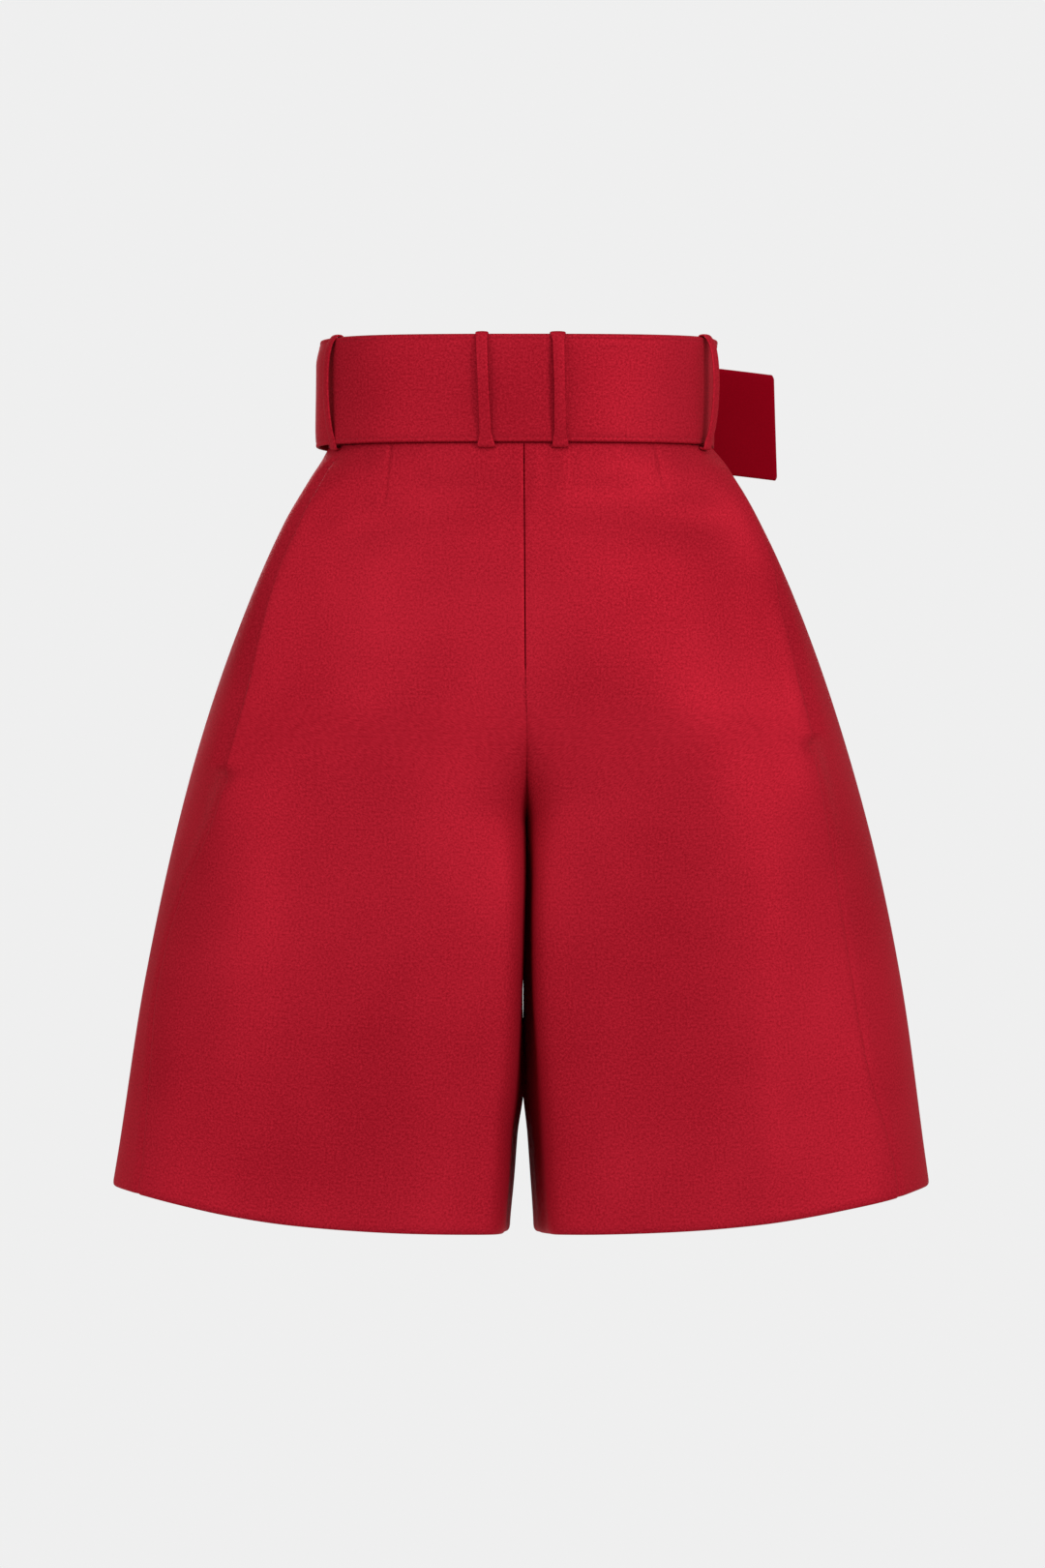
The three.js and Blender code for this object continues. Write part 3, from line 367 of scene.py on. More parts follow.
# %% Mesh helpers
def cap_quads(rows, columns):
    """Quads of a closed slab whose points are the outer grid and then the inner grid."""
    outer = np.arange(rows * columns).reshape(rows, columns)
    inner = outer + rows * columns
    sides = [
        (outer[:-1, :-1], outer[:-1, 1:], outer[1:, 1:], outer[1:, :-1]),
        (inner[:-1, :-1], inner[1:, :-1], inner[1:, 1:], inner[:-1, 1:]),
        (outer[0, 1:], outer[0, :-1], inner[0, :-1], inner[0, 1:]),
        (outer[-1, :-1], outer[-1, 1:], inner[-1, 1:], inner[-1, :-1]),
        (outer[:-1, 0], outer[1:, 0], inner[1:, 0], inner[:-1, 0]),
        (outer[1:, -1], outer[:-1, -1], inner[:-1, -1], inner[1:, -1]),
    ]
    return np.concatenate([np.stack(s, -1).reshape(-1, 4) for s in sides])


def volume(points, quads):
    """Signed volume: a sum over two triangles of each quad of a . (b x c) / 6."""
    a, b, c, d = (points[quads[:, k]] for k in range(4))
    one = np.einsum("ij,ij->i", a, np.cross(b, c))
    two = np.einsum("ij,ij->i", a, np.cross(c, d))
    return float((one + two).sum() / 6)


def build(name, points, quads, uv=None, material=None):
    """Object from points in mm and quads, turned so that its faces point outwards."""
    points = np.asarray(points, float).reshape(-1, 3) * 0.001
    if volume(points, quads) < 0:
        quads = quads[:, ::-1]
    mesh = bpy.data.meshes.new(name)
    mesh.from_pydata(points.tolist(), [], quads.tolist())
    if uv is not None:
        layer = mesh.uv_layers.new(name="cloth")
        index = np.empty(len(mesh.loops), int)
        mesh.loops.foreach_get("vertex_index", index)
        layer.data.foreach_set("uv", (np.asarray(uv).reshape(-1, 2) * 0.001)[index].ravel())
    mesh.shade_smooth()
    made = bpy.data.objects.new(name, mesh)
    scene.collection.objects.link(made)
    if material is not None:
        mesh.materials.append(material)
    return made


def edge_round(distance, radius, least=0.12):
    """Quarter-circle: a small share of the thickness at the edge, all of it one radius in."""
    t = np.clip(distance / radius, 0, 1)
    return least + (1 - least) * np.sqrt(np.clip(1 - (1 - t) ** 2, 0, 1))


EDGE_STEPS = np.array([0, 0.2, 0.5, 0.9, 1.5, 2.4])


def graded(length, step, edges=EDGE_STEPS):
    """Places from 0 to length: close together at both ends and one step apart between."""
    count = max(2, int(round((length - 2 * edges[-1]) / step)))
    middle = np.linspace(edges[-1], length - edges[-1], count + 1)
    return np.concatenate([edges[:-1], middle, (length - edges[:-1])[::-1]])


def row_lengths(points):
    """Length along each row from its first point, and the same from its last."""
    step = np.linalg.norm(np.diff(points, axis=1), axis=2)
    start = np.concatenate([np.zeros((len(points), 1)), np.cumsum(step, 1)], 1)
    return start, start[:, -1:] - start


def area_of(points):
    """Area of a grid of points in square metres, from the crossed diagonals of its cells."""
    a = points[1:, 1:] - points[:-1, :-1]
    b = points[1:, :-1] - points[:-1, 1:]
    return float(np.linalg.norm(np.cross(a, b), axis=2).sum() / 2 * 1e-6)


HEM_ROUND = 4.0


def hem_fold(d):
    """The cloth turns in to a quarter-round at the hem's fold."""
    above = np.clip((DEPTH - d) / HEM_ROUND, 0, 1)
    return -0.7 * HEM_ROUND * (1 - np.sqrt(1 - (1 - above) ** 2))


def cloth_piece(name, side, first, last, depths, middle, thick, material, width, step=1.6, shape=None,
                draw=None):
    """Closed slab of cloth. first and last give the angle of each end of a row from its depth. shape
    moves the cloth in or out, and draw straight backwards, by an amount that follows from the distances
    to both ends of the row and the depth."""
    low, high = depths
    u = (graded(width, step) / width)[None]
    d = low + graded(high - low, step * 1.2)[:, None]
    a0, a1 = first(d), last(d)
    angle = a0 + (a1 - a0) * u
    d = d + 0 * angle
    start, end = row_lengths(place(side, d, angle, middle + 0 * d))
    out = middle + (shape(start, end, d) if shape else 0) + hem_fold(d)
    edge = np.minimum(np.minimum(start, end), np.minimum(d - low, high - d))
    half = thick / 2 * edge_round(edge, thick * 0.6, 0.45)
    outer = place(side, d, angle, out + half)
    inner = place(side, d, angle, out - half)
    if draw:
        outer[..., 1] += draw(start, end, d)
        inner[..., 1] += draw(start, end, d)
    uv = np.stack([start, -d], -1)
    made = build(name, np.stack([outer, inner]), cap_quads(*d.shape), np.stack([uv, uv]), material)
    made["flat_area"] = area_of(place(side, d, angle, out))
    print(name, "faces", len(made.data.polygons), "area m2", round(made["flat_area"], 4))
    return made

# %% [markdown]
# ## Finishes
# Duchess satin has a fine, dense grain and a broad soft shine of its own colour. One plain red would look
# like plastic. The colour therefore varies a little over the panels and from thread to thread, the
# roughness varies with it, and a fine bump gives the grain. The grain reads each piece's own UV map, which
# is in metres, so it keeps its scale.


# %% Satin
CLOTH_IOR, CLOTH_SPECULAR = 1.25, 0.06


def woven(name, deep, light, rough, sheen, grain, bump, tint, threads=(1.0, 1.0), lustre=0.0):
    """Cloth: colour from deep to light by broad cloudy noise and thread grain, bump from the grain."""
    material, tree, shader = new_material(name)
    uv = node(tree, "ShaderNodeTexCoord")
    stretch = node(tree, "ShaderNodeMapping", {"Vector": uv.outputs["UV"], "Scale": (*threads, 1.0)})
    clouds = node(tree, "ShaderNodeTexNoise", {"Vector": uv.outputs["Object"], "Scale": 7.0, "Detail": 3.0})
    fine = node(tree, "ShaderNodeTexNoise", {"Vector": stretch.outputs[0], "Scale": grain, "Detail": 4.0,
                                             "Roughness": 0.65})
    threads_x = node(tree, "ShaderNodeTexWave", {"Vector": stretch.outputs[0], "Scale": grain * 0.55,
                                                 "Distortion": 1.5, "Detail": 1.0}, bands_direction="X")
    both = node(tree, "ShaderNodeMix", {0: 0.70, 2: clouds.outputs["Fac"], 3: fine.outputs["Fac"]})
    ramp = node(tree, "ShaderNodeValToRGB", {"Fac": both.outputs[0]})
    ramp.color_ramp.elements[0].position = 0.39
    ramp.color_ramp.elements[0].color = (*deep, 1)
    ramp.color_ramp.elements[1].position = 0.62
    ramp.color_ramp.elements[1].color = (*light, 1)
    tree.links.new(ramp.outputs["Color"], shader.inputs["Base Color"])
    matt = node(tree, "ShaderNodeMapRange", {"Value": both.outputs[0], 3: rough + 0.05, 4: rough - 0.05})
    tree.links.new(matt.outputs["Result"], shader.inputs["Roughness"])
    height = node(tree, "ShaderNodeMix", {0: 0.35, 2: fine.outputs["Fac"], 3: threads_x.outputs["Fac"]})
    relief = node(tree, "ShaderNodeBump", {"Strength": bump, "Distance": 0.0002, "Height": height.outputs[0]})
    tree.links.new(relief.outputs["Normal"], shader.inputs["Normal"])
    shader.inputs["Metallic"].default_value = lustre
    shader.inputs["IOR"].default_value = CLOTH_IOR
    shader.inputs["Specular IOR Level"].default_value = CLOTH_SPECULAR
    shader.inputs["Specular Tint"].default_value = (*tint, 1)
    shader.inputs["Sheen Weight"].default_value = sheen
    shader.inputs["Sheen Roughness"].default_value = 0.45
    shader.inputs["Sheen Tint"].default_value = (*tint, 1)
    return material


satin = woven("duchess_satin", (0.26, 0.0052, 0.0130), (0.44, 0.0140, 0.0290), 0.52, 0.0, 700, 0.45,
              (1.0, 0.20, 0.26), lustre=0.25)
# A darker copy of the satin for its reverse side and the inside pieces; on the belt's free end it is also
# painted shade.
satin_reverse = woven("satin_reverse", (0.20, 0.0008, 0.006), (0.27, 0.0016, 0.010), 0.6, 0.0, 1500, 0.3,
                      (1.0, 0.16, 0.22))
lining_cloth = woven("lining_twill", (0.20, 0.008, 0.016), (0.29, 0.015, 0.026), 0.50, 0.15, 2200, 0.25,
                     (1.0, 0.5, 0.55), (1.0, 0.4))
tape_cloth = woven("zip_and_hanger_tape", (0.14, 0.006, 0.012), (0.22, 0.011, 0.02), 0.75, 0.2, 900, 0.8,
                   (1.0, 0.6, 0.6), (1.0, 0.35))
label_cloth = woven("label_ribbon", (0.76, 0.72, 0.64), (0.88, 0.85, 0.79), 0.6, 0.2, 2600, 0.4,
                    (1.0, 1.0, 1.0), (0.5, 1.0))
thread = woven("sewing_thread", (0.26, 0.006, 0.016), (0.36, 0.011, 0.025), 0.5, 0.15, 5000, 0.5,
               (1.0, 0.5, 0.5))


# %% Metal and button
def brass():
    """Brushed, slightly worn metal: fine long scratches in the roughness, tarnish darker and lighter in
    random spots.
    """
    material, tree, shader = new_material("brushed_brass")
    place_of = node(tree, "ShaderNodeTexCoord").outputs["Object"]
    long = node(tree, "ShaderNodeMapping", {"Vector": place_of, "Scale": (1.0, 1.0, 0.06)})
    scratches = node(tree, "ShaderNodeTexNoise", {"Vector": long.outputs[0], "Scale": 9000.0, "Detail": 2.0})
    spots = node(tree, "ShaderNodeTexNoise", {"Vector": place_of, "Scale": 300.0, "Detail": 3.0})
    ramp = node(tree, "ShaderNodeValToRGB", {"Fac": spots.outputs["Fac"]})
    ramp.color_ramp.elements[0].color = (0.42, 0.29, 0.11, 1)
    ramp.color_ramp.elements[1].color = (0.66, 0.50, 0.24, 1)
    tree.links.new(ramp.outputs["Color"], shader.inputs["Base Color"])
    matt = node(tree, "ShaderNodeMapRange", {"Value": scratches.outputs["Fac"], 3: 0.2, 4: 0.42})
    tree.links.new(matt.outputs["Result"], shader.inputs["Roughness"])
    relief = node(tree, "ShaderNodeBump", {"Strength": 0.15, "Distance": 0.0001,
                                           "Height": scratches.outputs["Fac"]})
    tree.links.new(relief.outputs["Normal"], shader.inputs["Normal"])
    shader.inputs["Metallic"].default_value = 1.0
    return material


def moulded():
    """Glossy moulded button plastic with faint swirls of two reds."""
    material, tree, shader = new_material("button_resin")
    place_of = node(tree, "ShaderNodeTexCoord").outputs["Object"]
    swirl = node(tree, "ShaderNodeTexNoise", {"Vector": place_of, "Scale": 220.0, "Detail": 3.0,
                                              "Distortion": 2.0})
    ramp = node(tree, "ShaderNodeValToRGB", {"Fac": swirl.outputs["Fac"]})
    ramp.color_ramp.elements[0].color = (0.17, 0.006, 0.014, 1)
    ramp.color_ramp.elements[1].color = (0.30, 0.014, 0.026, 1)
    tree.links.new(ramp.outputs["Color"], shader.inputs["Base Color"])
    shader.inputs["Roughness"].default_value = 0.22
    shader.inputs["Coat Weight"].default_value = 0.3
    return material


brass_metal, button_resin = brass(), moulded()


def finish_piece(piece, body, slot, *nodes):
    """Lets a piece ride on a body and hides the frame nodes it stands for; slot is not used."""
    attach(piece, body)
    if nodes:
        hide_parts(*nodes)
    return piece


# %% [markdown]
# ## The four shell panels
# Each leg has a back and a front panel. Between the waist seam and a small bar tack at the hip the side
# seam is open as a pocket: the back panel's edge is drawn backwards and rolls in, and the front panel
# starts a little further forward and dips, so that the pouch shows between them. Below the tack the two
# edges meet in an ordinary pressed seam. The seam does not run along the silhouette: it wanders 4 to 29 mm
# inside it, and differently on the two legs.

# %% Side seams and the angles at which the panels end
SIDES = {"left": 1, "right": -1}
SEAM_DEPTH = [30, 78, 100, 124, 159, 206, 244, 282, 323, 367, 405, 473]
SEAM_INSET = {
    "left": [10.7, 12, 14, 16.5, 20, 20.5, 20, 12, 7.6, 7.3, 10.5, 15],
    "right": [4.3, 7.0, 13, 16, 19, 21, 23.5, 25.6, 27.5, 28.5, 28.7, 22],
}
TACK_DEPTH = {"left": 216.0, "right": 195.0}
MOUTH = {"left": 0.085, "right": 0.05}
BAND_GAP, LIP, TAPE_EDGE = 0.3, 4.2, 16.0


def back_start(d):
    """The middle of the back above the crotch, the inseam below it."""
    start = angle_at(d, 0.0 * d, 1)
    return start + (np.pi - start) * smooth((d - 140) / (CROTCH - 140))


def front_end(d):
    """The middle of the front above the crotch, the inseam below it."""
    end = angle_at(d, 0.0 * d, -1)
    return end - (np.pi + end) * smooth((d - 170) / (CROTCH - 170))


def seam_angle(name):
    """Angle of the side seam: the outline's outer x less the seam's inset at that depth."""
    table = softened_table(SEAM_INSET[name], 7.0, SEAM_DEPTH)

    def at(d):
        centre, half = section(d)
        inset = np.interp(d, EVERY_DEPTH, table)
        return angle_at(d, centre + half - inset, 1)
    return at


def upright_line(x):
    """Angle at which the front outline passes x, at every depth."""
    def at(d):
        return angle_at(d, x + 0.0 * d, -1)
    return at


def fly_edge(lip):
    """The front edge: lip off the middle beside the zip, closing to the middle below it."""
    def at(d):
        open_share = 1 - smooth((d - ZIP_END - 2) / 9)
        edge = angle_at(d, lip * open_share, -1)
        return edge - (np.pi + edge) * smooth((d - 170) / (CROTCH - 170))
    return at


# %% How the panels lie near their seams
def pocket_share(name, d):
    """1 along the pocket opening, 0 at the waist seam and below the bar tack."""
    tack = TACK_DEPTH[name]
    return smooth((d - 4) / 14) * smooth((tack - d) / 10)


def mouth_angle(name):
    """Angle of the front panel's side edge: at the seam, but a little further forward along the pocket, so
    that the opening shows the dark pocket bag."""
    seam = seam_angle(name)

    def at(d):
        return seam(d) - MOUTH[name] * pocket_share(name, d)
    return at


def tack_dimple(name, distance, d):
    """Small pulled-in hollow round the bar tack."""
    return -2.2 * np.exp(-(((d - TACK_DEPTH[name]) / 6) ** 2 + (distance / 9) ** 2))


def back_shape(name):
    """The back panel: a pressed valley at the middle seam, a proud rolled edge along the pocket."""
    def move(start, end, d):
        pocket = pocket_share(name, d)
        proud = (0.8 + 3.6 * pocket) * np.exp(-end / 12) - (1.3 + 2.4 * pocket) * np.exp(-(end / 1.5) ** 2)
        return (proud + tack_dimple(name, end, d)) * smooth((d - 1) / 12)
    return move


def gape(name, d):
    """1 beside the pocket opening, fading out slowly below the bar tack."""
    return smooth((d - 4) / 30) * smooth((TACK_DEPTH[name] + 90 - d) / 150)


def edge_draw(name, d):
    """How far the back panel's side edge is drawn backwards, in mm."""
    return (2.2 + 18.0 * gape(name, d)) * smooth((d - 1) / 14)


def back_draw(name):
    """Along the side the back panel lies flat up to its edge: it is drawn backwards there, most beside the
    pocket, so that the opening gapes."""
    def move(start, end, d):
        return edge_draw(name, d) * np.exp(-(end / 30) ** 2)
    return move


def front_draw(name):
    """Below the tack the front panel's edge follows the back panel's, so that the seam is closed."""
    def move(start, end, d):
        return (1 - pocket_share(name, d)) * edge_draw(name, d) * np.exp(-(start / 8) ** 2)
    return move


def front_shape(name):
    """The front panel: a shallow dip beside the side seam that stays clear of the lining, and a low ridge
    beside the zip."""
    def move(start, end, d):
        pocket = pocket_share(name, d)
        dip = -(1.6 + 2.8 * pocket) * np.exp(-(start / (4 + 5 * pocket)) ** 2)
        beside_zip = 0.5 * np.exp(-((end - 2.5) / 2.5) ** 2) * smooth((170 - d) / 20)
        return (dip + tack_dimple(name, start, d)) * smooth((d - 1) / 12) + beside_zip
    return move


# %% Make the shell panels
SHELL, SHELL_MIDDLE = 1.0, -0.6
for name, side in SIDES.items():
    for part, start, stop, shape, draw, width in (
        ("back", back_start, seam_angle(name), back_shape(name), back_draw(name), 250),
        ("front", mouth_angle(name), fly_edge(LIP), front_shape(name), front_draw(name), 270),
    ):
        panel = cloth_piece(f"satin_{part}_{name}", side, start, stop, (0.3, DEPTH), SHELL_MIDDLE,
                            SHELL, satin, width, 1.7, shape, draw)
        finish_piece(panel, "garment", "satin", f"{part}_panel_{name}")

# %% [markdown]
# ## Lining, pocket bags and hem facings
# Inside, a thinner lining hangs from the waist seam and ends above the hem. Between it and the satin are
# the pocket bags at the sides and the turned-up hem. They follow the same folds, only further in, so the
# same function makes them.


# %% Inner layers
def loose(start, end, d):
    """The lining hangs free: it leaves the shell gradually and has a few small waves of its own."""
    return -3.6 * smooth((d - 2) / 40) - 1.2 * smooth(d / 80) * np.cos(start / 13) * smooth((400 - d) / 90)


POUCH_BEHIND, POUCH_AHEAD = 0.12, 0.5
for name, side in SIDES.items():
    lining = cloth_piece(f"hanging_lining_{name}", side, back_start, fly_edge(TAPE_EDGE - 1.5),
                         (0.4, DEPTH - 26), -3.4, 0.6, lining_cloth, 520, 4.2, loose)
    finish_piece(lining, "garment", "lining", f"lining_{name}")
    facing = cloth_piece(f"turned_hem_{name}", side, back_start, front_end, (DEPTH - 35, DEPTH - 0.9), -2.3,
                         0.8, satin_reverse, 520, 3.2)
    finish_piece(facing, "garment", "satin", f"hem_facing_{name}")

    seam = seam_angle(name)
    bag = cloth_piece(f"pocket_pouch_{name}", side, lambda d, s=seam: s(d) + POUCH_BEHIND,
                      lambda d, s=seam: s(d) - POUCH_AHEAD, (34, 214), -6.3, 0.8, lining_cloth, 110, 3.0)
    finish_piece(bag, "garment", "lining", f"pocket_bag_{name}")

# %% [markdown]
# ## Waistband
# The waistband is a firm doubled strip at the top, with a facing inside. It is cut at the sides and open
# at the front. Its seam with the panels hides under the belt.


# %% Waistband pieces
def joined_back(name, middle, thick, material, depths, reach):
    """Strip across the middle of the back: the left half's grid and the mirrored one as one slab."""
    low, high = depths
    d = low + graded(high - low, 3.0)[:, None]
    u = np.linspace(-1, 1, 121)[None]
    angle = np.pi / 2 + (reach - np.pi / 2) * np.abs(u) + 0 * d
    d = d + 0 * u
    sign = np.sign(u + 1e-9) + 0 * d
    flat = place(1, d, angle, middle + 0 * d)
    flat[..., 0] *= sign
    start, end = row_lengths(flat)
    edge = np.minimum(np.minimum(start, end), np.minimum(d - low, high - d))
    half = thick / 2 * edge_round(edge, thick)
    layers = []
    for offset in (middle + half, middle - half):
        points = place(1, d, angle, offset)
        points[..., 0] = np.where(np.abs(u) < 1e-6, 0, points[..., 0]) * sign
        layers.append(points)
    uv = np.stack([start, -d], -1)
    made = build(name, np.stack(layers), cap_quads(*d.shape), np.stack([uv, uv]), material)
    made["flat_area"] = area_of(flat)
    return made


SEAM_AT_WAIST = float(seam_angle("left")(np.array(0.0)))
BAND_ROWS = (-BAND_HEIGHT, -0.2)
# Each layer of the band: label, middle, thickness, cloth.
BAND_LAYERS = [("", -0.7, 1.4, satin), ("facing_", -2.2, 1.0, satin_reverse)]
band_backs = {}
for label, middle, thick, cloth in BAND_LAYERS:
    band_backs[label] = joined_back(f"band_{label}back", middle, thick, cloth, BAND_ROWS, SEAM_AT_WAIST)
    finish_piece(band_backs[label], "garment", "satin", f"waistband_{label}back")
for name, side in SIDES.items():
    for label, middle, thick, cloth in BAND_LAYERS:
        piece = cloth_piece(f"band_{label}front_{name}", side, lambda d: SEAM_AT_WAIST + 0.0 * d,
                            upright_line(BAND_GAP), BAND_ROWS, middle, thick, cloth, 175, 3.0)
        finish_piece(piece, "garment", "satin", f"waistband_{label}front_{name}")

# %% [markdown]
# ## Belt
# The belt is a wide stiffened strip covered with satin, edge-stitched along both sides. It is a profile
# carried along a path: round the waist from the tab behind the buckle, up over the buckle's middle bar and
# on. Bevelled curve objects could do this, but a carried profile keeps the strip upright everywhere.

# %% Belt path
BELT, BELT_INNER = 2.2, 0.4
BELT_TOP, BELT_LOW = 0.5, 67.5
TAIL_UNDER = BELT_INNER + BELT + 0.3
WAVE, WAVE_HEIGHT = 26.0, 9.4
BUCKLE_SIDE = 32.0
TAIL_START = BUCKLE_SIDE + 1


def waist_point(angle, side):
    """Waist outline with its outward direction and how far the band dips there."""
    x, y = outline(0 * angle, angle)
    nx, ny = outline_normal(0 * angle, angle)
    return side * x, y, side * nx, ny, FRONT_DIP * ((1 - np.sin(angle)) / 2) ** 2


def belt_path():
    """Points along the belt as columns x, y, nx, ny, dip and lift: round the waist, then a cosine bump
    over the buckle's bar."""
    zero = np.zeros(1)
    a_first = angle_at(zero, 9 + zero, -1)[0]
    a_last = angle_at(zero, WAVE + 6 + zero, -1)[0]
    right = waist_point(np.linspace(a_first, np.pi / 2, 150)[:-1], -1)
    left = waist_point(np.linspace(np.pi / 2, a_last, 130), 1)
    x = np.concatenate([np.linspace(WAVE, -WAVE, 44), [-29.0, -TAIL_START + 2.0]])
    angle = angle_at(0 * x, np.abs(x), -1)
    _, y, _, _, dip = waist_point(angle, 1)
    bump = WAVE_HEIGHT * (0.5 + 0.5 * np.cos(np.pi * np.clip(x / WAVE, -1, 1)))
    lift = (TAIL_UNDER - BELT_INNER) * np.clip((WAVE - x) / (2 * WAVE), 0, 1) + bump
    ring = np.concatenate([np.stack(right, 1), np.stack(left, 1)])
    ring = np.concatenate([ring, np.zeros((len(ring), 1))], 1)
    front = np.stack([x, y, 0 * x, -1 + 0 * x, dip, lift], 1)
    return np.concatenate([ring, front])


# %% Belt strap
STITCH_INSET, STITCH_PITCH = 2.6, 3.2
# Close rows near a stitched edge, so that the groove under the stitches has its shape.
STITCHED_STEPS = np.array([0, 0.3, 0.8, 1.6, 2.2, 2.6, 3.0, 3.6])


def stitch_groove(from_edge):
    """A shallow bell-shaped hollow along the line of the stitches."""
    return -0.28 * np.exp(-((from_edge - STITCH_INSET) / 0.5) ** 2)


def side_ease(x, y):
    """The belt stands off the plain outline at the left side and is drawn in at the right, as the waist
    is."""
    return np.where(x > 0, 5.4, -4.6) * np.exp(-(y / 42) ** 2)


def strap(name, path, top, low, material):
    """Upright slab carried along a path: height steps across, thickness shrinking towards both edges,
    with a shallow groove under the edge stitching."""
    h = (top + graded(low - top, 3.2, STITCHED_STEPS))[None]
    x, y, nx, ny, dip, lift = (path[:, k][:, None] for k in range(6))
    ease = side_ease(x, y) * (y > -70) * (0.5 + 0.5 * smooth(h / 16))
    from_edge = np.minimum(h - top, low - h)
    along = np.cumsum(np.concatenate([[0], np.hypot(np.diff(path[:, 0]), np.diff(path[:, 1]))]))[:, None]
    pad = 0.25 * np.sin(along / 27 + h / 31) + 0.2 * np.sin(along / 11.5 - h / 14)
    ends = np.minimum(along, along[-1] - along) + 0.4
    half = BELT / 2 * edge_round(np.minimum(from_edge, ends), 1.3)
    mid = BELT_INNER + BELT / 2 + lift + ease + pad * smooth(from_edge / 12) * (lift < 0.1)
    layers = []
    for offset in (mid + half + stitch_groove(from_edge), mid - half):
        layers.append(np.stack([x + nx * offset, y + ny * offset, -dip - h + 0 * offset], -1))
    uv = np.stack([along + 0 * h, -h + 0 * along], -1)
    made = build(name, np.stack(layers), cap_quads(*layers[0].shape[:2]), np.stack([uv, uv]), material)
    return made, layers[0], h


path = belt_path()
belt, belt_face, belt_heights = strap("covered_belt", path, BELT_TOP, BELT_LOW, satin)
finish_piece(belt, "garment", "satin", "belt_strap")
print("belt points", len(path))


# %% Edge stitching
def stitches(name, line, pitch, material, length=2.3, radius=0.2):
    """Short rounded threads along a line of points: each is a six-sided tube with closed ends, thick in
    its middle and sunk at both ends."""
    gaps = np.linalg.norm(np.diff(line, axis=0), axis=1)
    along = np.concatenate([[0], np.cumsum(gaps)])
    centre = np.arange(pitch, along[-1] - pitch, pitch)
    t = np.linspace(-0.5, 0.5, 5)
    s = centre[:, None] + t[None] * length
    at = np.stack([np.interp(s, along, line[:, k]) for k in range(3)], -1)
    ahead = np.stack([np.interp(s + 0.4, along, line[:, k]) for k in range(3)], -1)
    tangent = ahead - at
    tangent /= np.linalg.norm(tangent, axis=-1, keepdims=True) + 1e-12
    side_a = np.cross(tangent, (0.12, 0.21, 0.97))
    side_a /= np.linalg.norm(side_a, axis=-1, keepdims=True) + 1e-12
    side_b = np.cross(tangent, side_a)
    turn = np.arange(6) * np.pi / 3
    fat = radius * np.sqrt(np.clip(1.02 - (2 * t) ** 2, 0.05, 1))[None, :, None, None]
    ring = at[:, :, None] + fat * (side_a[:, :, None] * np.cos(turn)[None, None, :, None]
                                   + side_b[:, :, None] * np.sin(turn)[None, None, :, None])
    count = ring.shape[0]
    k = np.arange(6)
    one = [np.stack([r * 6 + k, r * 6 + (k + 1) % 6, (r + 1) * 6 + (k + 1) % 6, (r + 1) * 6 + k], 1)
           for r in range(4)]
    ends = np.array([[3, 2, 1, 0], [0, 5, 4, 3], [24, 25, 26, 27], [27, 28, 29, 24]])
    faces = np.concatenate(one + [ends])
    quads = (np.arange(count)[:, None, None] * 30 + faces[None]).reshape(-1, 4)
    return build(name, ring.reshape(-1, 3), quads, np.zeros((count * 30, 2)), material)


lines = []
for inset in (STITCH_INSET, BELT_LOW - BELT_TOP - STITCH_INSET):
    column = int(np.argmin(np.abs(belt_heights[0] - BELT_TOP - inset)))
    lines.append(belt_face[4:-2, column])
for label, line in zip(("top", "low"), lines):
    sewn = stitches(f"belt_stitches_{label}", line, STITCH_PITCH, thread)
    finish_piece(sewn, "garment", "satin")

# %% [markdown]
# ## Free end of the belt
# The end of the belt comes out of the buckle and stands off sideways past the hip, so its reverse shows
# from behind. It swings on the buckle, so it is a piece of its own that rides on its own body.

# %% Belt tail
TAIL_LENGTH, TAIL_DROOP, TAIL_SLANT = 126.6, 12.5, 2.0
TAIL_TURN = np.radians(4)
start_y = outline(0.0, float(angle_at(0.0, TAIL_START, -1)))[1] - TAIL_UNDER - BELT
start_dip = FRONT_DIP * ((1 - np.sin(float(angle_at(0.0, TAIL_START, -1)))) / 2) ** 2


def tail_point(along, h, offset):
    """The strap's end: straight out from the buckle, turned a little towards the body, sinking with the
    power 1.3 of the way out, its two edges running slightly apart."""
    share = np.clip(along / TAIL_LENGTH, -0.05, 1)
    x = -along - TAIL_SLANT * share * h / BELT_LOW
    wave = 1.6 * np.sin(np.pi * np.clip(share, 0, 1)) + 0.8 * np.clip(share, 0, 1) ** 2 * np.sin(h / 17)
    y = offset + wave
    z = -h - TAIL_DROOP * np.clip(share, 0, 1) ** 1.3
    turned_x = x * np.cos(TAIL_TURN) + y * np.sin(TAIL_TURN)
    turned_y = -x * np.sin(TAIL_TURN) + y * np.cos(TAIL_TURN)
    return np.stack([turned_x - TAIL_START, turned_y + start_y, z - start_dip], -1)


TAIL_HIDDEN, TAIL_STEP, TAIL_CORNER = 1.6, 2.4, 3.0
tail_h = (BELT_TOP + graded(BELT_LOW - BELT_TOP, TAIL_STEP, STITCHED_STEPS))[None]
tail_s = (-TAIL_HIDDEN + graded(TAIL_LENGTH + TAIL_HIDDEN, TAIL_STEP, STITCHED_STEPS))[:, None]


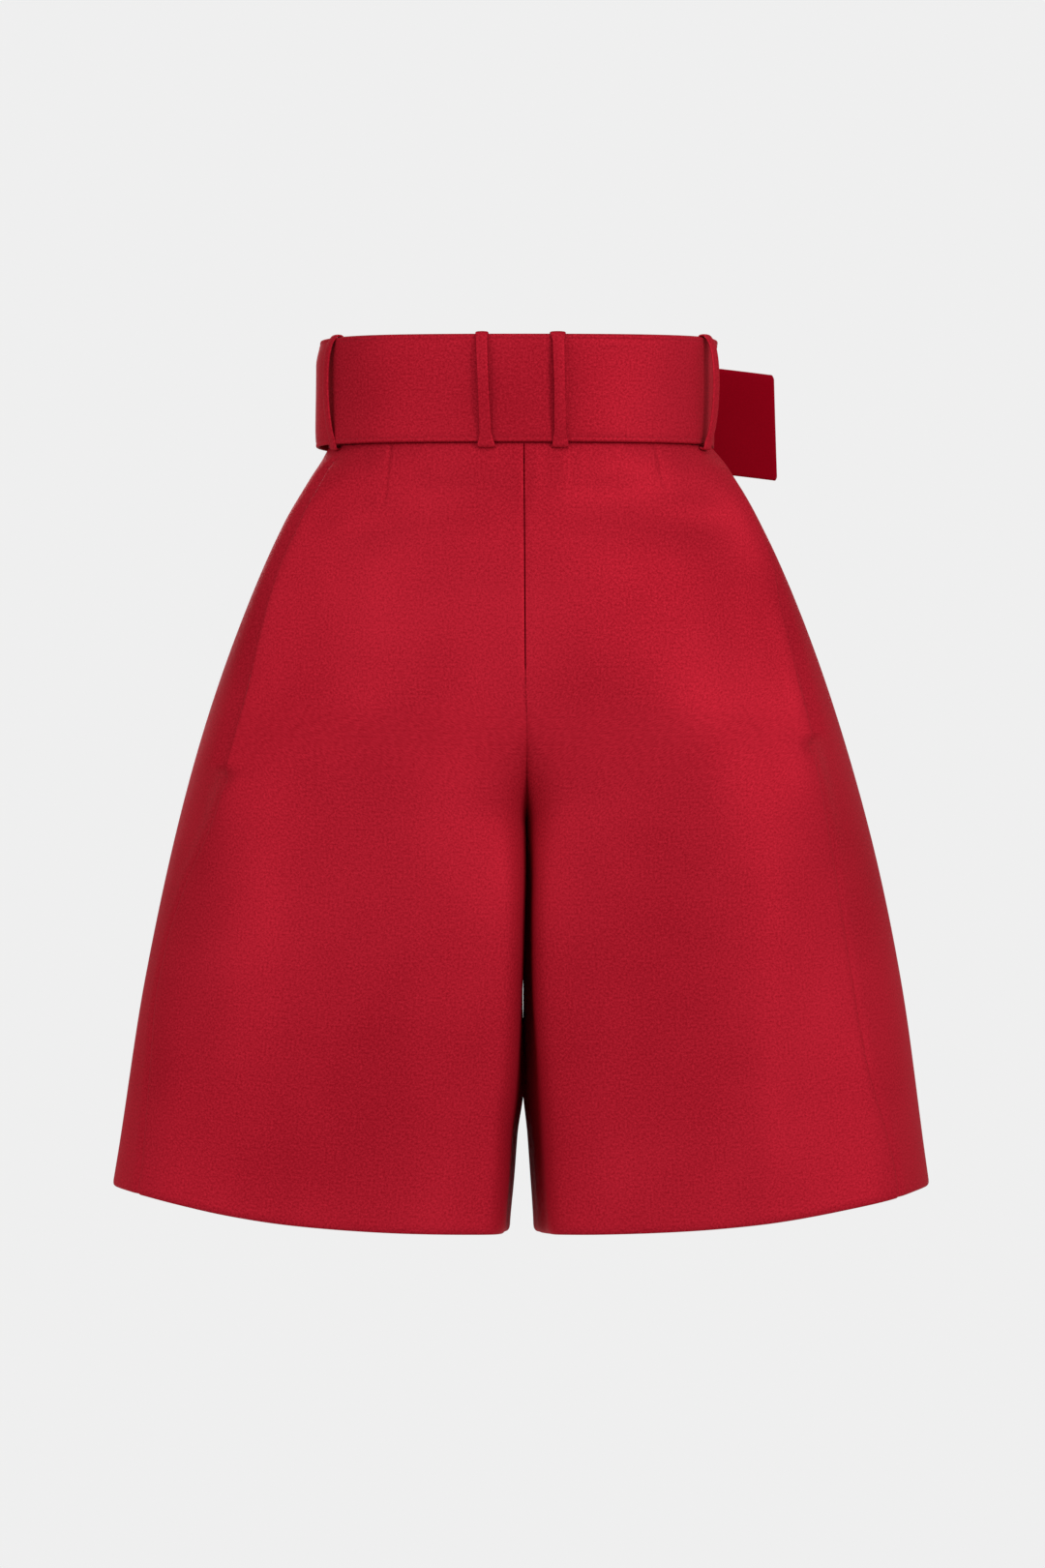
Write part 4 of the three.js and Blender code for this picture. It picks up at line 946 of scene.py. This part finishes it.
def tail_sides():
    """The front and the back grid of the free end. Near the two outer corners the distance from the edge
    is measured to an arc, so the corners are rounded and the edge stays thin round them."""
    inset_h = np.minimum(tail_h - BELT_TOP, BELT_LOW - tail_h)
    inset_s = TAIL_LENGTH - tail_s
    from_arc = TAIL_CORNER - np.hypot(np.clip(TAIL_CORNER - inset_h, 0, TAIL_CORNER),
                                      np.clip(TAIL_CORNER - inset_s, 0, TAIL_CORNER))
    in_corner = (inset_h < TAIL_CORNER) & (inset_s < TAIL_CORNER)
    corner = np.where(in_corner, from_arc, np.minimum(inset_h, inset_s))
    inset = np.clip(corner, 0, None)
    round_s = tail_s - np.clip(-corner, 0, 2)
    rim = 0.35 * np.exp(-((inset - 0.9) / 0.9) ** 2)
    half = BELT / 2 * edge_round(np.minimum(inset, tail_s + 2.0), 1.3)
    front = tail_point(round_s, tail_h, BELT / 2 - half - stitch_groove(inset))
    return front, tail_point(round_s, tail_h, BELT / 2 + half - rim * 0.4)


tail_front, tail_back = tail_sides()
tail_uv = np.stack([tail_s + 0 * tail_h, -tail_h + 0 * tail_s], -1)
tail = build("belt_free_end", np.stack([tail_front, tail_back]), cap_quads(*tail_front.shape[:2]),
             np.stack([tail_uv, tail_uv]), satin)
# The faces turned backwards get the darker reverse satin: partly the duller reverse of the cloth, partly
# painted shade for the shadow the free end lies in.
tail.data.materials.append(satin_reverse)
normals = np.empty(len(tail.data.polygons) * 3)
tail.data.polygons.foreach_get("normal", normals)
reverse_and_shade_faces = normals.reshape(-1, 3)[:, 1] > 0.5
tail.data.polygons.foreach_set("material_index", reverse_and_shade_faces.astype(np.int32))
finish_piece(tail, "tail", "satin", "belt_tail")

# %% Stitches round the free end
column = int(np.argmin(np.abs(tail_h[0] - BELT_TOP - STITCH_INSET)))
far = tail_front.shape[1] - 1 - column
end_row = int(np.argmin(np.abs(TAIL_LENGTH - tail_s[:, 0] - STITCH_INSET)))
round_line = np.concatenate([tail_front[:end_row, column], tail_front[end_row, column:far],
                             tail_front[end_row - 1::-1, far]])
end_stitches = stitches("belt_stitches_end", round_line[3:-3], STITCH_PITCH, thread)
finish_piece(end_stitches, "tail", "satin")
print("tail reaches x, mm:", round(float(tail_front[..., 0].min()), 1))

# %% [markdown]
# ## Belt loops
# Six narrow loops hold the belt: two close together at the back, one at each side, two in front. Each is a
# flat folded strip that leaves the band's top edge, bows out over the belt, and turns back in under it.


# %% Loop strips
def rounded_path(points, rounds=4):
    """Corner cutting: each pass replaces every corner by two points at a quarter and three quarters."""
    points = np.asarray(points, float)
    for _ in range(rounds):
        a, b = points[:-1], points[1:]
        cut = np.stack([0.75 * a + 0.25 * b, 0.25 * a + 0.75 * b], 1).reshape(-1, points.shape[1])
        points = np.concatenate([points[:1], cut, points[-1:]])
    return points


def loop_strip(name, x, sign, profile, widths, lean, thick=1.2):
    """A strip carried along a profile of (out, up) points in the plane that stands square to the waist.
    Its width changes along the way and it leans sideways; it is thinner at its edges."""
    line = rounded_path(profile)
    gaps = np.linalg.norm(np.diff(line, axis=0), axis=1)
    along = np.concatenate([[0], np.cumsum(gaps)])
    s = np.linspace(0, along[-1], 90)
    out, up = np.interp(s, along, line[:, 0]), np.interp(s, along, line[:, 1])
    d_out, d_up = np.gradient(out), np.gradient(up)
    length = np.hypot(d_out, d_up)
    n_out, n_up = -d_up / length, d_out / length
    width = np.interp(up, [-70, -62, -34, -4, 0], widths[::-1])
    v = np.array([-1, -0.985, -0.94, -0.86, -0.7, -0.35, 0, 0.35, 0.7, 0.86, 0.94, 0.985, 1])[None]
    across = v * width[:, None] / 2 + lean * (up[:, None] + 34) / 34
    crown = 0.35 * (1 - v ** 2)
    half = thick / 2 * edge_round((1 - np.abs(v)) * 3.5, 0.9)
    half = half * edge_round(np.minimum(s, s[-1] - s) + 0.3, 0.8)[:, None]
    angle = angle_at(np.zeros(1), np.array([abs(x)]), sign)
    px, py, nx, ny, dip = (float(value[0]) for value in waist_point(angle, 1 if x > 0 else -1))
    layers = []
    for offset in (crown + half, crown - half):
        o = out[:, None] + n_out[:, None] * offset
        u = up[:, None] + n_up[:, None] * offset
        layers.append(np.stack([px + nx * o + ny * across, py + ny * o - nx * across, u - dip], -1))
    uv = np.stack([across, s[:, None] + 0 * across], -1)
    return build(name, np.stack(layers), cap_quads(*layers[0].shape[:2]), np.stack([uv, uv]), satin)


def loop_profile(bow, foot=0.0):
    """Out and up: from inside the band's top, over it, down over the belt with a bow, in under the belt."""
    return [(-1.2, -1.5), (-1.4, 0.4), (0.6, 0.8), (3.3, 0.4), (3.9 + bow * 0.6, -6), (3.9 + bow, -20),
            (3.9 + bow, -40), (3.8 + bow * 0.6, -58), (3.6 + foot, -66), (3.4 + foot, -70.4), (1.6, -70.6),
            (0.6, -69.4)]


# Each loop: x on the waist, back 1 or front -1, profile, widths from top to foot, sideways lean.
LOOPS = {
    "back_left": (24.2, 1, loop_profile(2.8), (8.0, 7.2, 6.8, 7.6, 11.4), 1.4),
    "back_right": (-22.4, 1, loop_profile(2.8), (9.8, 7.6, 7.0, 7.8, 10.6), 0.7),
    "side_left": (115.5, 1, loop_profile(5.4, 1.0), (8.0, 7.8, 7.6, 7.8, 9.6), 0.6),
    "side_right": (-113.0, 1, loop_profile(5.6, 0.5), (8.0, 7.8, 7.6, 7.8, 9.6), -0.6),
    "front_left": (70.0, -1, loop_profile(1.0), (7.6, 6.8, 6.4, 6.8, 8.2), 0.5),
    "front_right": (-70.0, -1, loop_profile(3.3), (7.6, 6.8, 6.4, 6.8, 8.2), -0.5),
}
for name, (x, sign, profile, widths, lean) in LOOPS.items():
    loop = loop_strip(f"satin_loop_{name}", x, sign, profile, widths, lean)
    finish_piece(loop, "garment", "satin", f"belt_loop_{name}")
print("loops", len(LOOPS))

# %% [markdown]
# ## Covered buckle and its tab
# The buckle is a rounded rectangle with a middle bar, covered with the same satin. A soft cross-section is
# carried round the rectangle, which rounds every edge at once. The strap's other end, the tab, wraps the
# bar.

# %% Buckle
BUCKLE_OUT, BUCKLE_THICK, BUCKLE_RIM, BUCKLE_CORNER = 6.2, 3.0, 7.0, 3.6
BAR_HALF, BAR_THIN, BAR_PAST = 2.0, 1.42, 2.0
COVER_SHARE = 0.985
FRONT_Y = -(WAIST_DEPTH + BUCKLE_OUT + BUCKLE_THICK / 2)
MIDDLE_Z = -FRONT_DIP - BAND_HEIGHT / 2
WINDOW = BAND_HEIGHT / 2 + 1.5


def ring_quads(rows, columns, closed_rows):
    """Quads of a tube: its columns always close, its rows close where the path is a ring."""
    at = np.arange(rows * columns).reshape(rows, columns)
    after = np.roll(at, -1, 0) if closed_rows else at[1:]
    at = at if closed_rows else at[:-1]
    return np.stack([at, np.roll(at, -1, 1), np.roll(after, -1, 1), after], -1).reshape(-1, 4)


def capped(points, closed_rows=False):
    """Tube points (rows, columns, 3) and its quads; open ends close onto their middle points."""
    rows, columns = points.shape[:2]
    if closed_rows:
        return points.reshape(-1, 3), ring_quads(rows, columns, True)
    ends = [np.repeat(points[k].mean(0)[None], columns, 0)[None] for k in (0, -1)]
    points = np.concatenate([ends[0] * 0.999 + points[:1] * 0.001, points,
                             ends[1] * 0.999 + points[-1:] * 0.001])
    quads = ring_quads(rows + 2, columns, False)
    k = np.arange(0, columns // 2 - 1)
    low = np.stack([k + 1, k, columns - 1 - k, columns - 2 - k], 1)
    return points.reshape(-1, 3), np.concatenate([quads, low, low[:, ::-1] + (rows + 1) * columns])


def rounded_rectangle(half_x, half_z, radius):
    """Points round a rectangle with arcs at its corners: nine on each arc, 24 along each straight side."""
    quarter = np.linspace(0, np.pi / 2, 9)
    turns = np.concatenate([quarter + k * np.pi / 2 for k in range(4)])
    sign_x = np.repeat([1, -1, -1, 1], 9)
    sign_z = np.repeat([1, 1, -1, -1], 9)
    corners = np.stack([sign_x * (half_x - radius) + radius * np.cos(turns),
                        sign_z * (half_z - radius) + radius * np.sin(turns)], 1)
    ahead = np.roll(corners, -1, 0)
    shares = np.where(np.linalg.norm(ahead - corners, axis=1) > 10, 24, 1)
    return np.concatenate([a + (b - a) * (np.arange(n) / n)[:, None]
                           for a, b, n in zip(corners, ahead, shares)])


# The covered section is a softened oblong: |cos| to the power 0.5 across, |sin| to the power 0.75 deep.
section_turn = np.arange(28) / 28 * 2 * np.pi
flat_cos = np.sign(np.cos(section_turn)) * np.abs(np.cos(section_turn)) ** 0.5
flat_sin = np.sign(np.sin(section_turn)) * np.abs(np.sin(section_turn)) ** 0.75


def covered_rim(line):
    """The section carried round the line, a little uneven where the cover is pulled tight: points, quads
    and uv."""
    tangent = np.roll(line, -1, 0) - np.roll(line, 1, 0)
    tangent /= np.linalg.norm(tangent, axis=1, keepdims=True)
    outward = np.stack([tangent[:, 1], -tangent[:, 0]], 1)
    along = np.concatenate([[0], np.cumsum(np.linalg.norm(np.diff(line, axis=0), axis=1))])
    pull = 1 + 0.012 * np.sin(along / 2.1) * np.sin(along / 9.0)
    x = line[:, None, 0] + outward[:, None, 0] * BUCKLE_RIM / 2 * COVER_SHARE * flat_cos[None]
    z = line[:, None, 1] + outward[:, None, 1] * BUCKLE_RIM / 2 * COVER_SHARE * flat_cos[None]
    y = FRONT_Y + BUCKLE_THICK / 2 * pull[:, None] * flat_sin[None] * COVER_SHARE
    points, quads = capped(np.stack([x, y, z + MIDDLE_Z], -1), True)
    uv = np.stack([along[:, None] + 0 * x, section_turn[None] * 3.2 + 0 * x], -1)
    return points, quads, uv.reshape(-1, 2)


rim_points, rim_quads, rim_uv = covered_rim(rounded_rectangle(BUCKLE_SIDE - BUCKLE_RIM / 2,
                                                              WINDOW + BUCKLE_RIM / 2, BUCKLE_CORNER))
bar_z = np.linspace(-WINDOW - BAR_PAST, WINDOW + BAR_PAST, 40)[:, None]
bar = np.stack([BAR_HALF * flat_cos[None] + 0 * bar_z, FRONT_Y + BAR_THIN * flat_sin[None] + 0 * bar_z,
                MIDDLE_Z + bar_z + 0 * flat_cos[None]], -1)
bar_points, bar_quads = capped(bar)
bar_uv = np.stack([bar_points[:, 0], bar_points[:, 2]], -1)
buckle = build("covered_buckle", np.concatenate([rim_points, bar_points]),
               np.concatenate([rim_quads, bar_quads + len(rim_points)]),
               np.concatenate([rim_uv, bar_uv]), satin)
finish_piece(buckle, "buckle", "satin", "buckle_frame")
print("buckle faces", len(buckle.data.polygons))


# %% Tab round the bar, and upright strips of any plan
def upright(name, plan, thick, top, low, material, step=3.0, bulge=0.0):
    """Slab that stands upright on a plan line of (x, y) points, rounded at all edges."""
    line = rounded_path(plan, 3)
    z = (low + graded(top - low, step))[None]
    along = np.concatenate([[0], np.cumsum(np.linalg.norm(np.diff(line, axis=0), axis=1))])
    step_x, step_y = np.gradient(line[:, 0], along), np.gradient(line[:, 1], along)
    length = np.hypot(step_x, step_y)
    nx, ny = (step_y / length)[:, None], (-step_x / length)[:, None]
    edge = np.minimum(np.minimum(z - low, top - z), np.minimum(along, along[-1] - along)[:, None] + 0.2)
    half = thick / 2 * edge_round(edge, thick)
    soft = bulge * np.sin(z / 9.0 + along[:, None] / 13)
    layers = [np.stack([line[:, :1] + nx * (o + soft), line[:, 1:] + ny * (o + soft), z + 0 * half], -1)
              for o in (half, -half)]
    uv = np.stack([along[:, None] + 0 * z, z + 0 * along[:, None]], -1)
    return build(name, np.stack(layers), cap_quads(*layers[0].shape[:2]), np.stack([uv, uv]), material)


# The tab in plan, as (x, how far in front of the waist): a tongue, then most of an oval round the bar.
BAR_OUT = BUCKLE_OUT + BUCKLE_THICK / 2
TONGUE = np.array([[-16.8, 3.4], [-10, 3.4], [-5, 4.6]])
OVAL_WIDE, OVAL_DEEP, TAB_HALF = 3.15, 2.35, 33.0
around = np.radians(np.linspace(-62, 242, 22))
oval = np.stack([-OVAL_WIDE * np.cos(around), BAR_OUT + OVAL_DEEP * np.sin(around)], 1)
tab_plan = np.concatenate([TONGUE, oval]) * (1, -1) - (0, WAIST_DEPTH)
tab = upright("tab_round_bar", tab_plan, 0.9, MIDDLE_Z + TAB_HALF, MIDDLE_Z - TAB_HALF, satin)
finish_piece(tab, "garment", "satin", "buckle_tab")

# %% [markdown]
# ## Behind the zip and the waist closure
# A strip of satin, the fly shield, keeps the zip off the skin, and above it the waistband runs on as an
# underlap with a hook, a bar and a small button.

# %% Fly shield and underlap
def front_y(x, d):
    """y of the front surface at x and depth d, folds left out."""
    return outline(d, angle_at(d, np.abs(x), -1))[1]


SHIELD_TOP, SHIELD_END = 0.8, ZIP_END + 18
SHIELD_LEFT, SHIELD_RIGHT, SHIELD_THICK = 29.0, -6.0, 0.8
# How far the shield lies behind the front surface, at x from the right edge to the left.
SHIELD_X, SHIELD_BEHIND = [-6, 6, 12, 20, 30], [8.1, 8.1, 6.6, 5.4, 5.2]


def zip_guard():
    """A slab behind the zip that follows the front surface, thinner at all its edges."""
    d = np.linspace(SHIELD_TOP, SHIELD_END, 60)[:, None]
    x = np.linspace(SHIELD_LEFT, SHIELD_RIGHT, 26)[None]
    zero = 0 * d * x
    y = front_y(x + zero, d + zero) + np.interp(x, SHIELD_X, SHIELD_BEHIND)
    z = -BAND_HEIGHT - d - FRONT_DIP * (1 - d / DEPTH) + zero
    edge = np.minimum(np.minimum(d - SHIELD_TOP, SHIELD_END - d),
                      np.minimum(x - SHIELD_RIGHT, SHIELD_LEFT - x))
    half = SHIELD_THICK / 2 * edge_round(edge, SHIELD_THICK)
    layers = [np.stack([x + zero, y + o, z], -1) for o in (-half, half)]
    uv = np.stack([x + zero, -d + zero], -1)
    return build("zip_guard", np.stack(layers), cap_quads(*zero.shape), np.stack([uv, uv]), satin_reverse)


shield = zip_guard()
finish_piece(shield, "garment", "satin", "fly_shield")

# The underlap in plan, as (x, how far behind the front surface).
UNDERLAP = [(15.5, -3.4), (10, -3.4), (4, -5.8), (-2, -7.9), (-18, -7.9), (-33.5, -7.9)]
lap_plan = [(x, float(front_y(np.array(float(x)), np.array(0.0))) - o) for x, o in UNDERLAP]
LAP_INSET = 3.0
lap = upright("waist_extension", lap_plan, 0.8, -FRONT_DIP - LAP_INSET,
              -FRONT_DIP - BAND_HEIGHT + LAP_INSET, satin_reverse, 3.0, 0.15)
finish_piece(lap, "garment", "satin", "waist_underlap")


# %% Bevelled hardware from the frame's own solids
def softened(name, source, width, material, body, slot):
    """A merged copy of a frame node with its edges bevelled, standing for that node."""
    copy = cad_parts[source].copy()
    copy.data = copy.data.copy()
    copy.name = name
    copy.parent = None
    scene.collection.objects.link(copy)
    for other in list(copy.users_collection):
        if other is not scene.collection:
            other.objects.unlink(copy)
    shape = bmesh.new()
    shape.from_mesh(copy.data)
    bmesh.ops.remove_doubles(shape, verts=shape.verts, dist=1e-6)
    bmesh.ops.dissolve_limit(shape, angle_limit=0.02, verts=shape.verts, edges=shape.edges)
    shape.to_mesh(copy.data)
    shape.free()
    copy.data.materials.clear()
    copy.data.materials.append(material)
    bevel = copy.modifiers.new("edges", "BEVEL")
    bevel.width = width * 0.001
    bevel.segments = 2
    bevel.limit_method = "ANGLE"
    copy.data.shade_smooth()
    return finish_piece(copy, body, slot, source)


softened("hook_plate", "waist_hook", 0.2, brass_metal, "garment", "metal")
softened("hook_bar", "waist_bar", 0.2, brass_metal, "garment", "metal")
softened("zip_end_stop", "zip_bottom_stop", 0.3, brass_metal, "garment", "metal")
softened("zip_runner", "zip_slider", 0.25, brass_metal, "slider", "metal")
softened("zip_pull_plate", "zip_pull", 0.25, brass_metal, "pull", "metal")

# %% [markdown]
# ## Zip
# A zip is two tapes with a row of small metal teeth each. The teeth are one shape repeated, so it has few
# faces: a short stub with rounded ends, set alternately left and right.

# %% Tapes
TAPE_FAR, TAPE_NEAR = 13.5, 1.6
for name, side in SIDES.items():
    zip_tape = cloth_piece(f"zip_tape_woven_{name}", side, upright_line(TAPE_FAR), upright_line(TAPE_NEAR),
                           (0.6, ZIP_END + 1), -2.1, 0.55, tape_cloth, 12, 1.0)
    finish_piece(zip_tape, "garment", "tape", f"zip_tape_{name}")

# %% Teeth
TOOTH_PITCH, TOOTH_RADIUS = 2.5, 1.08
ROW_INSET_Y, ROW_INSET_Z = 0.9, 0.6
low_corner, high_corner = (np.array(corner) * 1000 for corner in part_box("zip_teeth_left"))
top_y, low_y = high_corner[1] - ROW_INSET_Y, low_corner[1] + ROW_INSET_Y
top_z, low_z = high_corner[2] - ROW_INSET_Z, low_corner[2] + ROW_INSET_Z


def teeth(name, side, shift):
    """A tooth is six eight-sided rings along x, thin at its foot and head, repeated down the zip's line."""
    count = int((top_z - low_z - 2) / TOOTH_PITCH)
    t = (np.arange(count) + shift) / (count + 0.5)
    centre = np.stack([0 * t, top_y + (low_y - top_y) * t, top_z + (low_z - top_z) * t], 1)
    down = np.array([0, low_y - top_y, low_z - top_z])
    down /= np.linalg.norm(down)
    out = np.array([0, down[2], -down[1]])
    along = np.array([0.35, 0.45, 1.1, 1.7, 2.3, 2.4])
    wide = np.array([0.30, 0.62, 0.62, 0.42, 0.42, 0.25])
    deep = np.array([0.45, 0.80, 0.88, 0.88, 0.80, 0.50])
    turn = np.arange(8) * np.pi / 4 + np.pi / 8
    ring = np.stack([np.cos(turn), np.sin(turn)], 1) * TOOTH_RADIUS
    one = (side * along[:, None, None] * np.array([1, 0, 0])
           + (wide[:, None] * ring[None, :, 0])[..., None] * down
           + (deep[:, None] * ring[None, :, 1])[..., None] * out)
    points, quads = capped(one)
    many = centre[:, None] + points[None]
    faces = (np.arange(count)[:, None, None] * len(points) + quads[None]).reshape(-1, 4)
    return build(name, many, faces, None, brass_metal)


for name, side in SIDES.items():
    row = teeth(f"metal_teeth_{name}", side, 0.2 if side > 0 else 0.7)
    finish_piece(row, "garment", "metal", f"zip_teeth_{name}")
    print("teeth faces", len(row.data.polygons))

# %% [markdown]
# ## Labels, hanging ribbons and the inside button
# The labels are plain woven ribbon without any words, sewn down at their ends. The hanging ribbons are
# loops that hang from the waistband's seam. The button is a turned profile with four holes.

# %% Labels
LABEL_HALF = 18.6
size_label = joined_back("neck_label", -3.25, 0.45, label_cloth, (-54, -18),
                         float(angle_at(0.0, LABEL_HALF, 1)))
finish_piece(size_label, "garment", "label", "size_label")
left_seam = seam_angle("left")
care = cloth_piece("side_label", 1, lambda d: left_seam(d) + 0.30, lambda d: left_seam(d) + 0.12, (68, 126),
                   -9.0, 0.45, label_cloth, 30, 2.0,
                   lambda start, end, d: -1.5 * np.sin(start / 9) * smooth((d - 72) / 50))
finish_piece(care, "garment", "label", "care_label")


# %% Hanging ribbons
RIBBON_DROP, RIBBON_SEWN, RIBBON_LENGTH = 74.0, 46.0, 97.0
BEND_SHARE, BEND_RADIUS = 0.12, 1.8


def ribbon(name, side):
    """A ribbon folded in two: down one side, round the bottom and up again, in a plane along the lining."""
    t = np.linspace(0, 1, 90)[:, None]
    v = np.linspace(-1, 1, 9)[None]
    bend = np.clip(np.pi * (t - 0.5) / (2 * BEND_SHARE), -np.pi / 2, np.pi / 2)
    away = BEND_RADIUS * np.sin(bend) + 0 * v
    straight = np.clip(np.abs(t - 0.5) - BEND_SHARE, 0, 1) * 2 * RIBBON_LENGTH
    down = RIBBON_DROP - BEND_RADIUS * (1 - np.cos(bend)) - straight + 0 * v
    d = down - RIBBON_SEWN
    angle = SEAM_AT_WAIST - 0.035 + v * 0.026 + 0 * t
    sway = 1.2 * np.sin(down / 15) + 0.5 * np.sin(down / 6 + 1)
    half = 0.4 * edge_round((1 - np.abs(v)) * 3, 0.6) + 0 * t
    depth_out = -6.3 - 1.2 * smooth(d / 10) + away + 0.25 * sway
    x, y = outline(0 * angle, angle)
    nx, ny = outline_normal(0 * angle, angle)
    x = x + 0.18 * np.maximum(d, 0)
    layers = []
    for o in (half, -half):
        facing = np.cos(bend) * 0 + np.where(t < 0.5, -1, 1)
        out = depth_out + o * facing * np.abs(np.sin(bend))
        z = -BAND_HEIGHT - d - o * np.cos(bend)
        layers.append(np.stack([side * (x + nx * out), y + ny * out, z - FRONT_DIP * 0.25], -1))
    uv = np.stack([v * 3 + 0 * t, t * 150 + 0 * v], -1)
    return build(name, np.stack(layers), cap_quads(*layers[0].shape[:2]), np.stack([uv, uv]), tape_cloth)


for name, side in SIDES.items():
    finish_piece(ribbon(f"hanging_ribbon_{name}", side), "garment", "tape", f"hanger_loop_{name}")

# %% Inside button
low_corner, high_corner = (np.array(corner) * 1000 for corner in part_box("inside_button"))
button_middle = (low_corner + high_corner) / 2
BUTTON = [(0.0, -0.9), (5.0, -0.9), (5.9, -0.5), (6.2, 0.1), (5.9, 0.7), (5.2, 1.0), (4.6, 0.8), (4.1, 0.45),
          (0.0, 0.4)]


HOLES, HOLE_AWAY, HOLE_RADIUS, CUT_DEPTH = 4, 1.25, 0.55, 3.0


def turned_button():
    """The rounded profile of (radius, height) turned about the y axis."""
    line = rounded_path(BUTTON[1:-1], 2)
    line = np.concatenate([[[0.01, BUTTON[0][1]]], line, [[0.01, BUTTON[-1][1]]]])
    turn = np.arange(48) / 48 * 2 * np.pi
    points = np.stack([line[:, :1] * np.cos(turn), -line[:, 1:] + 0 * turn, line[:, :1] * np.sin(turn)], -1)
    return build("small_button", *capped(points[:, ::-1]), None, button_resin)


def drill(button):
    """Cuts the holes for the thread through the button, along y."""
    turn = np.arange(12) / 12 * 2 * np.pi
    for k in range(HOLES):
        at = k * 2 * np.pi / HOLES + np.pi / 4
        x = HOLE_AWAY * np.cos(at) + HOLE_RADIUS * np.cos(turn)
        z = HOLE_AWAY * np.sin(at) + HOLE_RADIUS * np.sin(turn)
        rod = np.stack([np.stack([x, 0 * turn + y, z], -1) for y in (-CUT_DEPTH, CUT_DEPTH)])
        cutter = build("cutter", *capped(rod))
        cut = button.modifiers.new("hole", "BOOLEAN")
        cut.operation, cut.solver, cut.object = "DIFFERENCE", "EXACT", cutter
        bpy.context.view_layer.objects.active = button
        with bpy.context.temp_override(object=button, active_object=button):
            bpy.ops.object.modifier_apply(modifier="hole")
        bpy.data.objects.remove(cutter)


def seat(button, middle):
    """Mirrors the button front to back, turns it square to the waist and moves it to its middle, in mm."""
    lean = np.arctan2(middle[0], -middle[1])
    turn = np.array([[np.cos(lean), -np.sin(lean), 0], [np.sin(lean), np.cos(lean), 0], [0, 0, 1]])
    spots = np.empty(len(button.data.vertices) * 3)
    button.data.vertices.foreach_get("co", spots)
    spots = spots.reshape(-1, 3) * (1, -1, 1) @ turn.T + middle * 0.001
    button.data.vertices.foreach_set("co", spots.ravel())
    button.data.flip_normals()
    button.data.update()


button = turned_button()
drill(button)
seat(button, button_middle)
finish_piece(button, "garment", "button", "inside_button")
print("button faces", len(button.data.polygons))
